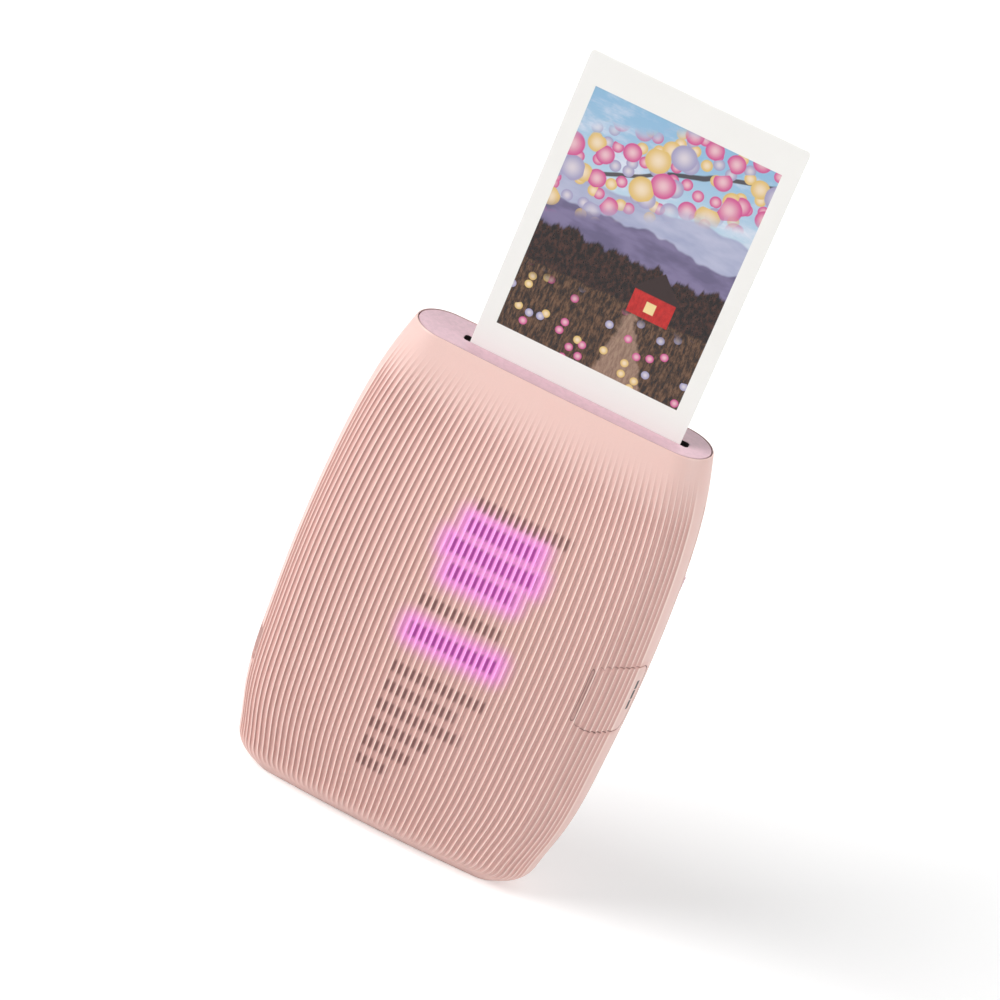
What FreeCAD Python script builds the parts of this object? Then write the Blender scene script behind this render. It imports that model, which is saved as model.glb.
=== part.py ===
import FreeCAD, Part
import math
import os
import re

# A compact photo printer that stands upright: a barrel-shaped casing with a flat deck on top,
# from which a finished print rises. Millimetres, +Z up, the ribbed front faces -Y,
# and the origin is the middle of the base.

Vector = FreeCAD.Vector

# Driving dimensions, kept in the sheet
SIZES = {
    # Casing
    "body_width": 90.0,
    "body_depth": 37.3,
    "body_height": 125.0,
    "side_radius": 14.92,
    "wall": 2.0,
    "floor_thickness": 2.0,
    "parting_y": -0.5,
    # Deck and its slot
    "deck_thickness": 2.0,
    "deck_rim": 0.35,
    "deck_gap": 0.22,
    "slot_width": 3.05,
    "slot_front": -2.55,
    "slot_corner": 0.9,
    "seal_thickness": 1.4,
    "seal_margin": 1.6,
    # Print
    "sheet_thickness": 0.4,
    "sheet_corner": 1.0,
    "sheet_gap": 0.1,
    "sheet_past_nip": 1.4,
    # Film pack
    "pack_depth": 12.3,
    "pack_wall": 1.25,
    "pack_corner": 1.5,
    "pack_play": 0.3,
    "home_gap": 0.25,
    "aperture_margin": 0.3,
    "exit_slit": 1.0,
    "stack_thickness": 3.8,
    "stack_gap": 0.15,
    "plate_thickness": 0.6,
    # Rollers and their frame
    "nip_depth": 10.5,
    "nip_gap": 0.05,
    "roller_radius": 2.3,
    "journal_radius": 1.2,
    "journal_end": 0.5,
    "bush_wall": 0.65,
    "running_gap": 0.05,
    "end_gap": 0.3,
    "cheek": 1.2,
    "cheek_inset": 1.8,
    "cheek_front": 7.6,
    "cheek_front_right": 6.9,
    "cheek_low_front": 9.4,
    "cheek_back": 3.2,
    "cheek_rise": 2.8,
    "cheek_step": 8.0,
    # Gears
    "roller_teeth": 12,
    "idler_teeth": 14,
    "pinion_teeth": 10,
    "gear_width": 2.6,
    "gear_gap": 0.3,
    "idler_pin_radius": 0.8,
    "pin_head": 0.5,
    "cover_gap": 0.5,
    "cover_thickness": 0.8,
    "cover_post_radius": 0.9,
    # Motor
    "motor_shift": 2.3,
    "motor_drop": 10.3,
    "motor_radius": 2.75,
    "motor_length": 23.0,
    "motor_head": 8.0,
    "motor_groove": 0.3,
    "motor_shaft_radius": 0.6,
    "motor_shaft_depth": 4.0,
    # Inner frame
    "chamber_wall": 1.3,
    "chamber_back": 7.8,
    "frame_gap": 0.3,
    "ear_length": 7.6,
    "ear_length_right": 5.2,
    "ear_height": 6.0,
    "ear_margin": 2.5,
    "boss_radius": 2.1,
    "screw_radius": 0.9,
    "screw_head_radius": 1.6,
    "screw_head": 0.8,
    "screw_grip": 4.0,
    # Exposure head
    "head_height": 10.0,
    "head_depth": 5.0,
    "head_below_frame": 1.3,
    "lens_height": 1.6,
    "lens_depth": 3.5,
    "led_bar_thickness": 0.8,
    # Main board and battery
    "board_stand": 0.6,
    "board_head_gap": 2.85,
    "board_thickness": 0.8,
    "board_corner": 3.0,
    "post_radius": 1.8,
    "chip_height": 1.4,
    "battery_thickness": 4.4,
    "battery_pad": 0.6,
    # Charging port
    "port_width": 9.0,
    "port_thickness": 3.2,
    "port_length": 7.2,
    "port_recess": 3.2,
    "tongue_recess": 0.8,
    "port_wall": 0.3,
    "port_opening_gap": 0.2,
    # Light display
    "light_front": 11.4,
    "light_thickness": 0.8,
    "light_head_gap": 1.35,
    "light_margin": 1.8,
    "led_size": 1.6,
    "led_height": 0.6,
    "diffuser_thickness": 0.65,
    "diffuser_stand": 0.75,
    "diffuser_inset": 4.0,
    "diffuser_leg": 1.0,
    # Power button
    "button_front": 13.9,
    "button_back": 2.0,
    "button_corner": 2.8,
    "button_gap": 0.2,
    "button_travel": 0.6,
    "plunger_size": 4.0,
    "plunger_y": -7.0,
    "switch_height": 0.9,
    "dome_height": 0.7,
    "dome_gap": 0.62,
    "spacer": 0.7,
    # Film door
    "door_gap": 0.3,
    "knuckle_radius": 1.4,
    "knuckle_gap": 0.3,
    "hinge_pin_radius": 0.7,
    "spring_width": 7.0,
    "spring_sheet": 0.4,
    "spring_rise": 0.5,
    "spring_gap": 0.2,
    "spring_boss_radius": 2.5,
    # Door latch
    "latch_height": 11.5,
    "latch_clearance": 0.7,
    "latch_plate": 1.2,
    "latch_front": 1.5,
    "latch_back": 8.2,
    "hook_reach": 4.0,
    "hook_height": 4.0,
    "thumb_height": 5.0,
    "thumb_front": 4.9,
    "thumb_width": 3.0,
    "thumb_gap": 0.3,
    "latch_travel": 2.5,
    "latch_spring_length": 4.0,
    "latch_spring_radius": 0.9,
    "seat_thickness": 1.5,
    "keeper_gap": 0.7,
    "keeper_thickness": 1.2,
    # Pick claw
    "claw_thickness": 0.8,
    "claw_gap": 0.2,
    "claw_front": -3.9,
    "claw_width": 5.9,
    "claw_foot_length": 10.0,
    "claw_finger_width": 3.0,
    "claw_finger": 0.4,
    "claw_finger_gap": 0.3,
    "claw_travel": 8.2,
    "stud_radius": 0.9,
    "claw_tab": 2.6,
    "pick_spring_radius": 1.0,
    "spring_wire": 0.3,
    "spring_turns": 8,
    # Case screws
    "lug_width": 7.0,
    "lug_front": 2.0,
    "lug_thickness": 1.6,
    "overrun": 2.0,
}

# Lengths along X as shares of the body's width, for a printer of another film's size
WIDTH_SHARES = {
    "slot_shift": 0.035556,
    "slot_length": 0.641111,
    "sheet_width": 0.6,
    "pack_width": 0.677778,
    "picture_width": 0.511111,
    "head_width": 0.555556,
    "board_left": -0.288889,
    "board_right": 0.377778,
    "board_wing": 0.124444,
    "battery_left": -0.211111,
    "battery_width": 0.466667,
    "light_left": -0.155556,
    "light_width": 0.377778,
    "button_inner": 0.366667,
    "hinge_side": 0.401667,
    "thumb_end": 0.481111,
    "case_screw_left": -0.133333,
    "case_screw_right": 0.2,
}

# Heights as shares of the body's height
HEIGHT_SHARES = {
    "sheet_length": 0.688,
    "picture_height": 0.496,
    "picture_border": 0.1312,
    "pack_bottom": 0.152,
    "pack_length": 0.72,
    "ear_low": 0.4,
    "ear_high": 0.728,
    "ear_low_right": 0.328,
    "ear_high_right": 0.616,
    "board_low": 0.176,
    "board_wing_top": 0.32,
    "battery_low": 0.1792,
    "battery_height": 0.256,
    "port_low": 0.2096,
    "light_low": 0.44,
    "button_low": 0.4192,
    "button_height": 0.1488,
    "door_low": 0.096,
    "door_top": 0.8984,
    "hinge_low": 0.352,
    "hinge_height": 0.288,
    "knuckle_height": 0.16,
    "spring_length": 0.24,
    "latch_low": 0.664,
    "thumb_low": 0.688,
    "claw_top": 0.776,
    "claw_foot": 0.064,
    "claw_tab_low": 0.512,
    "stud_low": 0.28,
    "stud_high": 0.68,
    "pick_spring_length": 0.144,
    "lug_top": 0.136,
    "case_screw_z": 0.116,
}

# Places worked out from the driving dimensions
PLACES = {
    "half_width": "body_width / 2",
    "half_depth": "body_depth / 2",
    "deck_low": "body_height - deck_thickness",
    "slot_back": "slot_front + slot_width",
    "slot_left": "slot_shift - slot_length / 2",
    "slot_right": "slot_shift + slot_length / 2",
    "sheet_front": "slot_front + sheet_gap",
    "sheet_back": "sheet_front + sheet_thickness",
    "sheet_left": "slot_shift - sheet_width / 2",
    "sheet_right": "slot_shift + sheet_width / 2",
    "nip_z": "body_height - nip_depth",
    "sheet_low": "nip_z + sheet_past_nip",
    "pack_left": "slot_shift - pack_width / 2",
    "pack_right": "slot_shift + pack_width / 2",
    "pack_inner_front": "sheet_front - pack_play",
    "pack_front": "pack_inner_front - pack_wall",
    "pack_back": "pack_front + pack_depth",
    "pack_top": "pack_bottom + pack_length",
    "home_low": "pack_bottom + pack_wall + home_gap",
    "stack_front": "sheet_back + stack_gap",
    "stack_back": "stack_front + stack_thickness",
    "frame_left_in": "pack_left - pack_play",
    "frame_left": "frame_left_in - chamber_wall",
    "frame_right_in": "pack_right + pack_play",
    "frame_right": "frame_right_in + chamber_wall",
    "frame_front_in": "pack_front - pack_play",
    "frame_front": "frame_front_in - chamber_wall",
    "frame_low_in": "pack_bottom - pack_play",
    "frame_low": "frame_low_in - chamber_wall",
    "roller_pitch": "2 * roller_radius + sheet_thickness + 2 * nip_gap",
    "front_roller_y": "(sheet_front + sheet_back - roller_pitch) / 2",
    "rear_roller_y": "(sheet_front + sheet_back + roller_pitch) / 2",
    "gear_module": "roller_pitch / roller_teeth",
    "motor_y": "front_roller_y - motor_shift",
    "motor_z": "nip_z - motor_drop",
    "frame_top": "motor_z - motor_radius - frame_gap",
    "gear_line": "sqrt(motor_shift * motor_shift + motor_drop * motor_drop)",
    "roller_reach": "gear_module * (roller_teeth + idler_teeth) / 2",
    "pinion_reach": "gear_module * (pinion_teeth + idler_teeth) / 2",
    "idler_along": "(gear_line * gear_line + roller_reach * roller_reach"
                   " - pinion_reach * pinion_reach) / (2 * gear_line)",
    "idler_off": "sqrt(roller_reach * roller_reach - idler_along * idler_along)",
    "idler_y": "front_roller_y - (idler_along * motor_shift - idler_off * motor_drop) / gear_line",
    "idler_z": "nip_z - (idler_along * motor_drop + idler_off * motor_shift) / gear_line",
    "cheek_left_in": "frame_left + cheek",
    "cheek_right": "frame_right - cheek_inset",
    "cheek_right_in": "cheek_right - cheek",
    "cheek_back_out": "cheek_back + cheek",
    "cheek_top": "nip_z + cheek_rise",
    "roller_left": "cheek_left_in + end_gap",
    "roller_right": "cheek_right_in - end_gap",
    "bush_radius": "journal_radius + running_gap + bush_wall",
    "gear_right": "frame_left - gear_gap",
    "gear_left": "gear_right - gear_width",
    "cover_right": "gear_left - gear_gap - pin_head - cover_gap",
    "cover_left": "cover_right - cover_thickness",
    "head_left": "slot_shift - head_width / 2",
    "head_right": "slot_shift + head_width / 2",
    "head_top": "frame_top - head_below_frame",
    "head_low": "head_top - head_height",
    "head_front": "frame_front_in - head_depth",
    "lens_z": "head_low + head_height / 2",
    "board_top": "head_low - board_head_gap",
    "board_back": "frame_front - board_stand",
    "board_front": "board_back - board_thickness",
    "battery_back": "board_front - battery_pad",
    "battery_front": "battery_back - battery_thickness",
    "port_front": "board_back",
    "port_back": "board_back + port_thickness",
    "light_height": "head_low - light_head_gap - light_low",
    "light_board_front": "-light_front",
    "light_board_back": "light_thickness - light_front",
    "diffuser_back": "-light_front - diffuser_stand",
    "diffuser_front": "diffuser_back - diffuser_thickness",
    "button_mid": "button_low + button_height / 2",
    "button_stop": "button_inner - button_travel - end_gap",
    "switch_board_left": "frame_right + spacer",
    "switch_left": "switch_board_left + board_thickness",
    "dome_left": "switch_left + switch_height",
    "plunger_left": "dome_left + dome_height + dome_gap",
    "hinge_x": "-hinge_side",
    "side_middle": "half_width - side_radius",
    "hinge_y": "sqrt(side_radius * side_radius"
               " - (hinge_side - side_middle) * (hinge_side - side_middle))",
    "door_left": "hinge_x + door_gap / 2",
    "knuckle_low": "hinge_low + (hinge_height - knuckle_height) / 2",
    "knuckle_high": "knuckle_low + knuckle_height",
    "hinge_high": "hinge_low + hinge_height",
    "spring_face": "pack_back + spring_gap + spring_rise + spring_sheet",
    "latch_x": "frame_right + latch_clearance",
    "latch_right": "latch_x + latch_plate",
    "latch_top": "latch_low + latch_height",
    "seat_low": "latch_top + latch_spring_length",
    "claw_right": "frame_left - claw_gap",
    "claw_left": "claw_right - claw_thickness",
    "claw_back": "claw_front + claw_width",
    "claw_foot_top": "claw_foot + claw_thickness",
    "finger_right": "claw_right + claw_foot_length",
    "finger_left": "finger_right - claw_finger_width",
    "finger_front": "(sheet_front + sheet_back - claw_finger) / 2",
    "finger_back": "finger_front + claw_finger",
    "finger_top": "home_low - claw_finger_gap",
    "pick_spring_x": "claw_left - claw_tab / 2",
    "pick_spring_y": "claw_front + claw_width / 2",
    "pick_spring_low": "claw_tab_low - pick_spring_length",
    "lug_back": "lug_front + lug_thickness",
}

for full, shares in (("body_width", WIDTH_SHARES), ("body_height", HEIGHT_SHARES)):
    for name, share in shares.items():
        PLACES[name] = "%s * %s" % (full, share)

# Barrel sections from the base up: the height, half width, half depth and side radius of each,
# as shares of the body's height and of the widest section's own
SECTION_SHARES = (
    (0.000, 0.756, 0.402, 0.437),
    (0.024, 0.851, 0.590, 0.619),
    (0.064, 0.902, 0.705, 0.740),
    (0.144, 0.951, 0.825, 0.846),
    (0.304, 0.990, 0.950, 0.950),
    (0.496, 1.000, 1.000, 1.000),
    (0.680, 0.984, 0.945, 0.945),
    (0.824, 0.950, 0.795, 0.815),
    (0.920, 0.904, 0.640, 0.696),
    (1.000, 0.844, 0.469, 0.551),
)

# Tooth outline: half widths as shares of the angle between teeth, heights as shares of the module
TOOTH_ROOT_SHARE = 0.27
TOOTH_TIP_SHARE = 0.10
TOOTH_HEIGHT_SHARE = 0.85
TOOTH_DEPTH_SHARE = 1.15

# Parts on the main board: the name, the left end and the width as shares of the board's width,
# the height as a share of board_corner, and the rise as a share of chip_height
CHIP_SHARES = (
    ("processor", 0.15, 0.2, 4, 1.0),
    ("memory", 0.4, 0.14, 3.3, 0.8),
    ("radio_can", 0.6, 0.27, 4, 1.2),
)

doc = FreeCAD.newDocument("PhotoPrinter")
sheet = doc.addObject("Spreadsheet::Sheet", "Sizes")
places = doc.addObject("App::VarSet", "Places")
parts = []


def linked(formula):
    """Give the names in a formula their owners: the sheet of sizes or the set of places."""

    def owned(match):
        word = match.group()
        if word in SIZES:
            return "Sizes." + word
        if word in PLACES:
            return "Places." + word
        return word

    return re.sub(r"[a-z_]\w*", owned, str(formula))


def fill_sheet():
    for row, (alias, number) in enumerate(SIZES.items(), start=1):
        sheet.set("A%d" % row, alias)
        sheet.set("B%d" % row, str(number))
        sheet.setAlias("B%d" % row, alias)
    doc.recompute()


def fill_places():
    for name in PLACES:
        places.addProperty("App::PropertyFloat", name, "Places")
    for name, formula in PLACES.items():
        places.setExpression(name, linked(formula))
    doc.recompute()


def value(name):
    """The number that a size or a place holds."""
    if name in SIZES:
        return float(sheet.get(name))
    return float(getattr(places, name))


def at(item, spot):
    """Tie an object's position to three formulas."""
    for axis, formula in zip("xyz", spot):
        item.setExpression("Placement.Base." + axis, linked(formula))
    return item


def block(name, low, high):
    """A box between two corners."""
    item = doc.addObject("Part::Box", name)
    for side, start, end in zip(("Length", "Width", "Height"), low, high):
        item.setExpression(side, linked("(%s) - (%s)" % (end, start)))
    return at(item, low)


TURNS = {
    "x": FreeCAD.Rotation(Vector(0, 1, 0), 90),
    "y": FreeCAD.Rotation(Vector(1, 0, 0), -90),
    "z": FreeCAD.Rotation(),
}


def rod(name, axis, start, radius, length):
    """A cylinder that runs from start along +X, +Y or +Z."""
    item = doc.addObject("Part::Cylinder", name)
    item.Placement = FreeCAD.Placement(Vector(0, 0, 0), TURNS[axis])
    item.setExpression("Radius", linked(radius))
    item.setExpression("Height", linked(length))
    return at(item, start)


def fused(name, *items):
    item = doc.addObject("Part::MultiFuse", name)
    item.Shapes = list(items)
    return item


def cut(name, base, *tools):
    for number, tool in enumerate(tools):
        item = doc.addObject("Part::Cut", "%s_%d" % (name, number))
        item.Base = base
        item.Tool = tool
        base = item
    return base


def common(name, *items):
    item = doc.addObject("Part::MultiCommon", name)
    item.Shapes = list(items)
    return item


def group(name, items):
    item = doc.addObject("Part::Compound", name)
    item.Links = list(items)
    return item


def rounded(name, base, axis, radius):
    """Round the edges of a box that run along one axis."""
    doc.recompute()
    way = {"x": Vector(1, 0, 0), "y": Vector(0, 1, 0), "z": Vector(0, 0, 1)}[axis]
    edges = []
    for number, edge in enumerate(base.Shape.Edges, start=1):
        run = edge.Vertexes[-1].Point - edge.Vertexes[0].Point
        if abs(run.normalize().dot(way)) > 0.999:
            edges.append((number, value(radius), value(radius)))
    item = doc.addObject("Part::Fillet", name)
    item.Base = base
    item.Edges = edges
    return item


def solid(name, shape):
    """A shape that the sizes shape in code, where no primitive fits."""
    item = doc.addObject("Part::Feature", name)
    item.Shape = shape
    return item


def piece(label, item):
    item.Label = label
    parts.append(item)
    return item


def oval(width_half, depth_half, side, height):
    """A four-centred oval wire: round sides of radius side, and long arcs front and back."""
    centre = width_half - side
    long_radius = (centre ** 2 + depth_half ** 2 - side ** 2) / (2 * (depth_half - side))
    turn = math.atan2(centre, long_radius - depth_half)
    join = Vector(centre + side * math.sin(turn), side * math.cos(turn), height)
    edges = []
    front_left = Vector(-join.x, -join.y, height)
    front_right = Vector(join.x, -join.y, height)
    back_right = Vector(join.x, join.y, height)
    back_left = Vector(-join.x, join.y, height)
    edges.append(Part.Arc(front_left, Vector(0, -depth_half, height), front_right).toShape())
    edges.append(Part.Arc(front_right, Vector(width_half, 0, height), back_right).toShape())
    edges.append(Part.Arc(back_right, Vector(0, depth_half, height), back_left).toShape())
    edges.append(Part.Arc(back_left, Vector(-width_half, 0, height), front_left).toShape())
    return Part.Wire(edges)


def section(share, inset=0.0, lift=0.0):
    """One barrel section, drawn in by inset, with the heights above lift squeezed to fit."""
    height_share, width_share, depth_share, side_share = share
    width_half = value("half_width") * width_share
    depth_half = value("half_depth") * depth_share
    side = value("side_radius") * side_share
    height = lift + height_share * (value("body_height") - lift)
    return oval(width_half - inset, depth_half - inset, side - inset, height)


def barrel(name, inset=0.0, lift=0.0):
    """A smooth solid through the barrel sections."""
    wires = []
    for number, share in enumerate(SECTION_SHARES):
        wires.append(solid("%s_section_%d" % (name, number), section(share, inset, lift)))
    item = doc.addObject("Part::Loft", name)
    item.Sections = wires
    item.Solid = True
    item.Ruled = False
    return item


def deck_shape(inset):
    """The deck's outline, drawn in from the barrel's top, as deep as the deck is thick."""
    wire = section(SECTION_SHARES[-1], inset)
    return Part.Face(wire).extrude(Vector(0, 0, -value("deck_thickness")))


def gear_shape(teeth, start, low_x, high_x, centre_y, centre_z, bore):
    """A spur gear along X with straight-sided teeth, one of them at the angle start."""
    module = value("gear_module")
    pitch_radius = module * teeth / 2
    tip = pitch_radius + TOOTH_HEIGHT_SHARE * module
    root = pitch_radius - TOOTH_DEPTH_SHARE * module
    step = 2 * math.pi / teeth
    points = []
    for number in range(teeth):
        middle = start + number * step
        for share, radius in ((-TOOTH_ROOT_SHARE, root), (-TOOTH_TIP_SHARE, tip),
                              (TOOTH_TIP_SHARE, tip), (TOOTH_ROOT_SHARE, root)):
            angle = middle + share * step
            points.append(Vector(low_x, centre_y + radius * math.cos(angle),
                                 centre_z + radius * math.sin(angle)))
    blank = Part.Face(Part.makePolygon(points + points[:1])).extrude(Vector(high_x - low_x, 0, 0))
    hole = Part.makeCylinder(bore, high_x - low_x, Vector(low_x, centre_y, centre_z), Vector(1, 0, 0))
    return blank.cut(hole)


def meshed_start(start, teeth, toward, mate_teeth):
    """The start angle that puts a mate's tooth gap on this gear's tooth."""
    return toward + math.pi - (start - toward) * teeth / mate_teeth + math.pi / mate_teeth


def coil(label, low, height, radius, wire):
    """A small spring: a square wire swept along a helix that rises from low."""
    path = Part.makeHelix(height / value("spring_turns"), height, radius)
    half = wire / 2
    corners = [Vector(radius + across * half, 0, up * half)
               for across, up in ((-1, -1), (1, -1), (1, 1), (-1, 1), (-1, -1))]
    shape = Part.Wire(path).makePipeShell([Part.makePolygon(corners)], True, True)
    item = solid(label, shape)
    item.Placement = FreeCAD.Placement(low, FreeCAD.Rotation())
    return piece(label, item)


def screws(label, axis, spots, length):
    """A group of like screws: each a shank from its spot and a head on the spot's other side."""
    items = []
    for number, spot in enumerate(spots):
        shank = rod("%s_shank_%d" % (label, number), axis, spot, "screw_radius", length)
        lower = list(spot)
        index = "xyz".index(axis)
        lower[index] = "%s - screw_head" % lower[index]
        head = rod("%s_head_%d" % (label, number), axis, lower, "screw_head_radius", "screw_head")
        items.append(fused("%s_%d" % (label, number), head, shank))
    return piece(label, group(label + "_group", items))


def make_casing():
    """The outer barrel, the space inside it, and the shell between them."""
    outer = barrel("outer_barrel")
    inner = barrel("inner_barrel", value("wall"), value("floor_thickness"))
    seat = solid("deck_seat", deck_shape(value("deck_rim")))
    return outer, cut("casing", outer, inner, seat)


def make_deck():
    """The flat deck with the slot that the print leaves by, and the felt under it."""
    plate = solid("deck_plate", deck_shape(value("deck_rim") + value("deck_gap")))
    slot = rounded("deck_slot",
                   block("deck_slot_box", ("slot_left", "slot_front", "deck_low - overrun"),
                         ("slot_right", "slot_back", "body_height + overrun")),
                   "z", "slot_corner")
    piece("top_deck", cut("deck", plate, slot))
    low = "deck_low - seal_thickness"
    strips = [
        block("front_felt", ("slot_left", "slot_front - seal_margin", low),
              ("slot_right", "slot_front", "deck_low")),
        block("rear_felt", ("slot_left", "sheet_back + sheet_gap", low),
              ("slot_right", "slot_back", "deck_low")),
    ]
    piece("light_seal", group("felt_strips", strips))


def front_bosses(outer):
    """Posts inside the front shell for the inner frame, the light board and the rear shell."""
    bosses = []
    spots = [(x, "boss_radius", z, "frame_front") for x, z in frame_screw_spots()]
    spots += [(x, "post_radius", z, "light_board_front") for x, z in light_screw_spots()]
    spots += [(x, "boss_radius", "case_screw_z", "lug_front")
              for x in ("case_screw_left", "case_screw_right")]
    for number, (x, radius, z, end) in enumerate(spots):
        name = "front_boss_%d" % number
        post = rod(name + "_rod", "y", (x, "-half_depth", z), radius, "half_depth + (%s)" % end)
        bosses.append(common(name, post, outer))
    return bosses


def frame_screw_spots():
    left = "frame_left - ear_length + ear_margin"
    right = "frame_right + ear_length_right - ear_margin"
    return ((left, "ear_low"), (left, "ear_high"), (right, "ear_low_right"), (right, "ear_high_right"))


def light_screw_spots():
    columns = ("light_left + light_margin", "light_left + light_width - light_margin")
    rows = ("light_low + light_margin", "light_low + light_height - light_margin")
    return [(x, z) for x in columns for z in rows]


def board_screw_spots():
    columns = ("board_left + board_corner", "board_right - board_corner")
    rows = ("board_low + board_corner", "board_top - board_corner")
    return [(x, z) for x in columns for z in rows]


def make_front_shell(outer, casing):
    """The ribbed front half of the casing, with openings for the button and the charging port."""
    front_zone = block("front_zone", ("-body_width", "-body_depth", "-overrun"),
                       ("body_width", "parting_y", "body_height + overrun"))
    front = common("front_half", casing, front_zone)
    hole = rounded("button_hole",
                   block("button_hole_box",
                         ("button_stop", "-button_front - button_gap", "button_low - button_gap"),
                         ("half_width + overrun", "button_gap - button_back",
                          "button_low + button_height + button_gap")),
                   "x", "button_corner")
    blank = rounded("button_blank",
                    block("button_blank_box", ("button_inner", "-button_front", "button_low"),
                          ("half_width + overrun", "-button_back", "button_low + button_height")),
                    "x", "button_corner")
    cap = common("button_cap", casing, blank)
    half = "plunger_size / 2"
    plunger = block("plunger", ("plunger_left", "plunger_y - " + half, "button_mid - " + half),
                    ("half_width - wall", "plunger_y + " + half, "button_mid + " + half))
    inside = common("plunger_inside", plunger, outer)
    piece("power_button", fused("button", cap, inside))
    port_hole = rounded("port_hole",
                        block("port_hole_box",
                              ("-half_width - overrun", "port_front - port_opening_gap",
                               "port_low - port_opening_gap"),
                              ("port_recess + port_length - half_width",
                               "port_back + port_opening_gap",
                               "port_low + port_width + port_opening_gap")),
                        "x", "slot_corner")
    shell = fused("front_with_bosses", front, *front_bosses(outer))
    tools = [hole, port_hole]
    for number, (x, z) in enumerate(frame_screw_spots()):
        tools.append(rod("frame_screw_hole_%d" % number, "y", (x, "frame_front - screw_grip", z),
                         "screw_radius", "screw_grip + overrun"))
    for number, (x, z) in enumerate(light_screw_spots()):
        tools.append(rod("light_screw_hole_%d" % number, "y",
                         (x, "light_board_front - led_size", z), "screw_radius",
                         "led_size + overrun"))
    for number, x in enumerate(("case_screw_left", "case_screw_right")):
        tools.append(rod("case_screw_hole_%d" % number, "y",
                         (x, "lug_front - screw_grip", "case_screw_z"), "screw_radius",
                         "screw_grip + overrun"))
    piece("front_shell", cut("front", shell, *tools))


def hinge_rod(name, low, high, radius):
    return rod(name, "z", ("hinge_x", "hinge_y", low), radius, "(%s) - (%s)" % (high, low))


def make_rear_shell(casing):
    """The rear frame of the casing: a band above and below the door, and the hinge column."""
    rear_zone = block("rear_zone", ("-body_width", "parting_y", "-overrun"),
                      ("body_width", "body_depth", "body_height + overrun"))
    opening = block("door_opening", ("hinge_x - door_gap / 2", "parting_y - overrun",
                                     "door_low - door_gap"),
                    ("body_width", "body_depth", "door_top + door_gap"))
    frame = cut("rear_frame", common("rear_half", casing, rear_zone), opening)
    low_barrel = hinge_rod("low_barrel", "hinge_low", "knuckle_low - knuckle_gap", "knuckle_radius")
    high_barrel = hinge_rod("high_barrel", "knuckle_high + knuckle_gap", "hinge_high",
                            "knuckle_radius")
    relief = hinge_rod("knuckle_relief", "knuckle_low - knuckle_gap", "knuckle_high + knuckle_gap",
                       "knuckle_radius + knuckle_gap")
    bore = hinge_rod("shell_hinge_bore", "hinge_low - overrun", "hinge_high + overrun",
                     "hinge_pin_radius + running_gap")
    lugs = []
    holes = []
    for number, x in enumerate(("case_screw_left", "case_screw_right")):
        lugs.append(block("lug_%d" % number, (x + " - lug_width / 2", "lug_front", "wall / 2"),
                          (x + " + lug_width / 2", "lug_back", "lug_top")))
        holes.append(rod("lug_hole_%d" % number, "y", (x, "lug_front - overrun", "case_screw_z"),
                         "screw_radius + running_gap", "lug_thickness + 2 * overrun"))
    body = cut("rear_relieved", frame, relief)
    body = fused("rear_with_barrels", body, low_barrel, high_barrel, *lugs)
    piece("rear_shell", cut("rear", body, bore, *holes))
    piece("door_hinge_pin", hinge_rod("hinge_pin", "hinge_low", "hinge_high", "hinge_pin_radius"))


def make_door(outer, casing):
    """The film door: the rear of the casing, hinged at its left edge, with its pressure springs."""
    zone = block("door_zone", ("door_left", "parting_y + door_gap", "door_low"),
                 ("body_width", "body_depth", "door_top"))
    panel = common("door_panel", casing, zone)
    reliefs = [
        hinge_rod("low_barrel_relief", "hinge_low - knuckle_gap", "knuckle_low",
                  "knuckle_radius + knuckle_gap"),
        hinge_rod("high_barrel_relief", "knuckle_high", "hinge_high + knuckle_gap",
                  "knuckle_radius + knuckle_gap"),
    ]
    knuckle = hinge_rod("door_knuckle", "knuckle_low", "knuckle_high", "knuckle_radius")
    bore = hinge_rod("door_hinge_bore", "hinge_low - overrun", "hinge_high + overrun",
                     "hinge_pin_radius + running_gap")
    additions = [knuckle]
    middle = "pack_bottom + pack_length / 2"
    spring_spots = [("slot_shift - pack_width / 4", middle), ("slot_shift + pack_width / 4", middle)]
    for number, (x, z) in enumerate(spring_spots):
        name = "spring_boss_%d" % number
        post = rod(name + "_rod", "y", (x, "spring_face", z), "spring_boss_radius",
                   "half_depth - spring_face")
        additions.append(common(name, post, outer))
    seat = block("spring_seat_box", ("latch_x", "latch_front + latch_plate",
                                     "seat_low"),
                 ("half_width", "latch_back", "seat_low + seat_thickness"))
    additions.append(common("spring_seat", seat, outer))
    thumb_slot = block("thumb_slot", ("latch_x", "thumb_front - thumb_gap", "thumb_low - thumb_gap"),
                       ("body_width", "thumb_front + thumb_width + thumb_gap",
                        "thumb_low + thumb_height + latch_travel + thumb_gap"))
    body = fused("door_with_knuckle", cut("door_relieved", panel, *reliefs), *additions)
    piece("film_door", cut("door", body, bore, thumb_slot))
    leaves = []
    for number, (x, z) in enumerate(spring_spots):
        leaf = solid("leaf_%d" % number, leaf_shape())
        at(leaf, (x + " - spring_width / 2", "spring_face", z))
        leaves.append(leaf)
    piece("pressure_springs", group("leaf_springs", leaves))


def leaf_shape():
    """A bowed spring strip: its middle lies on the door's boss, its ends reach for the pack."""
    half = value("spring_length") / 2
    thick = value("spring_sheet")
    rise = value("spring_rise")
    near = Part.Arc(Vector(0, -rise, -half), Vector(0, 0, 0), Vector(0, -rise, half)).toShape()
    far = Part.Arc(Vector(0, -rise - thick, -half), Vector(0, -thick, 0),
                   Vector(0, -rise - thick, half)).toShape()
    ends = [Part.LineSegment(Vector(0, -rise, end), Vector(0, -rise - thick, end)).toShape()
            for end in (-half, half)]
    outline = Part.Wire(Part.__sortEdges__([near, far] + ends))
    return Part.Face(outline).extrude(Vector(value("spring_width"), 0, 0))


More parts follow.
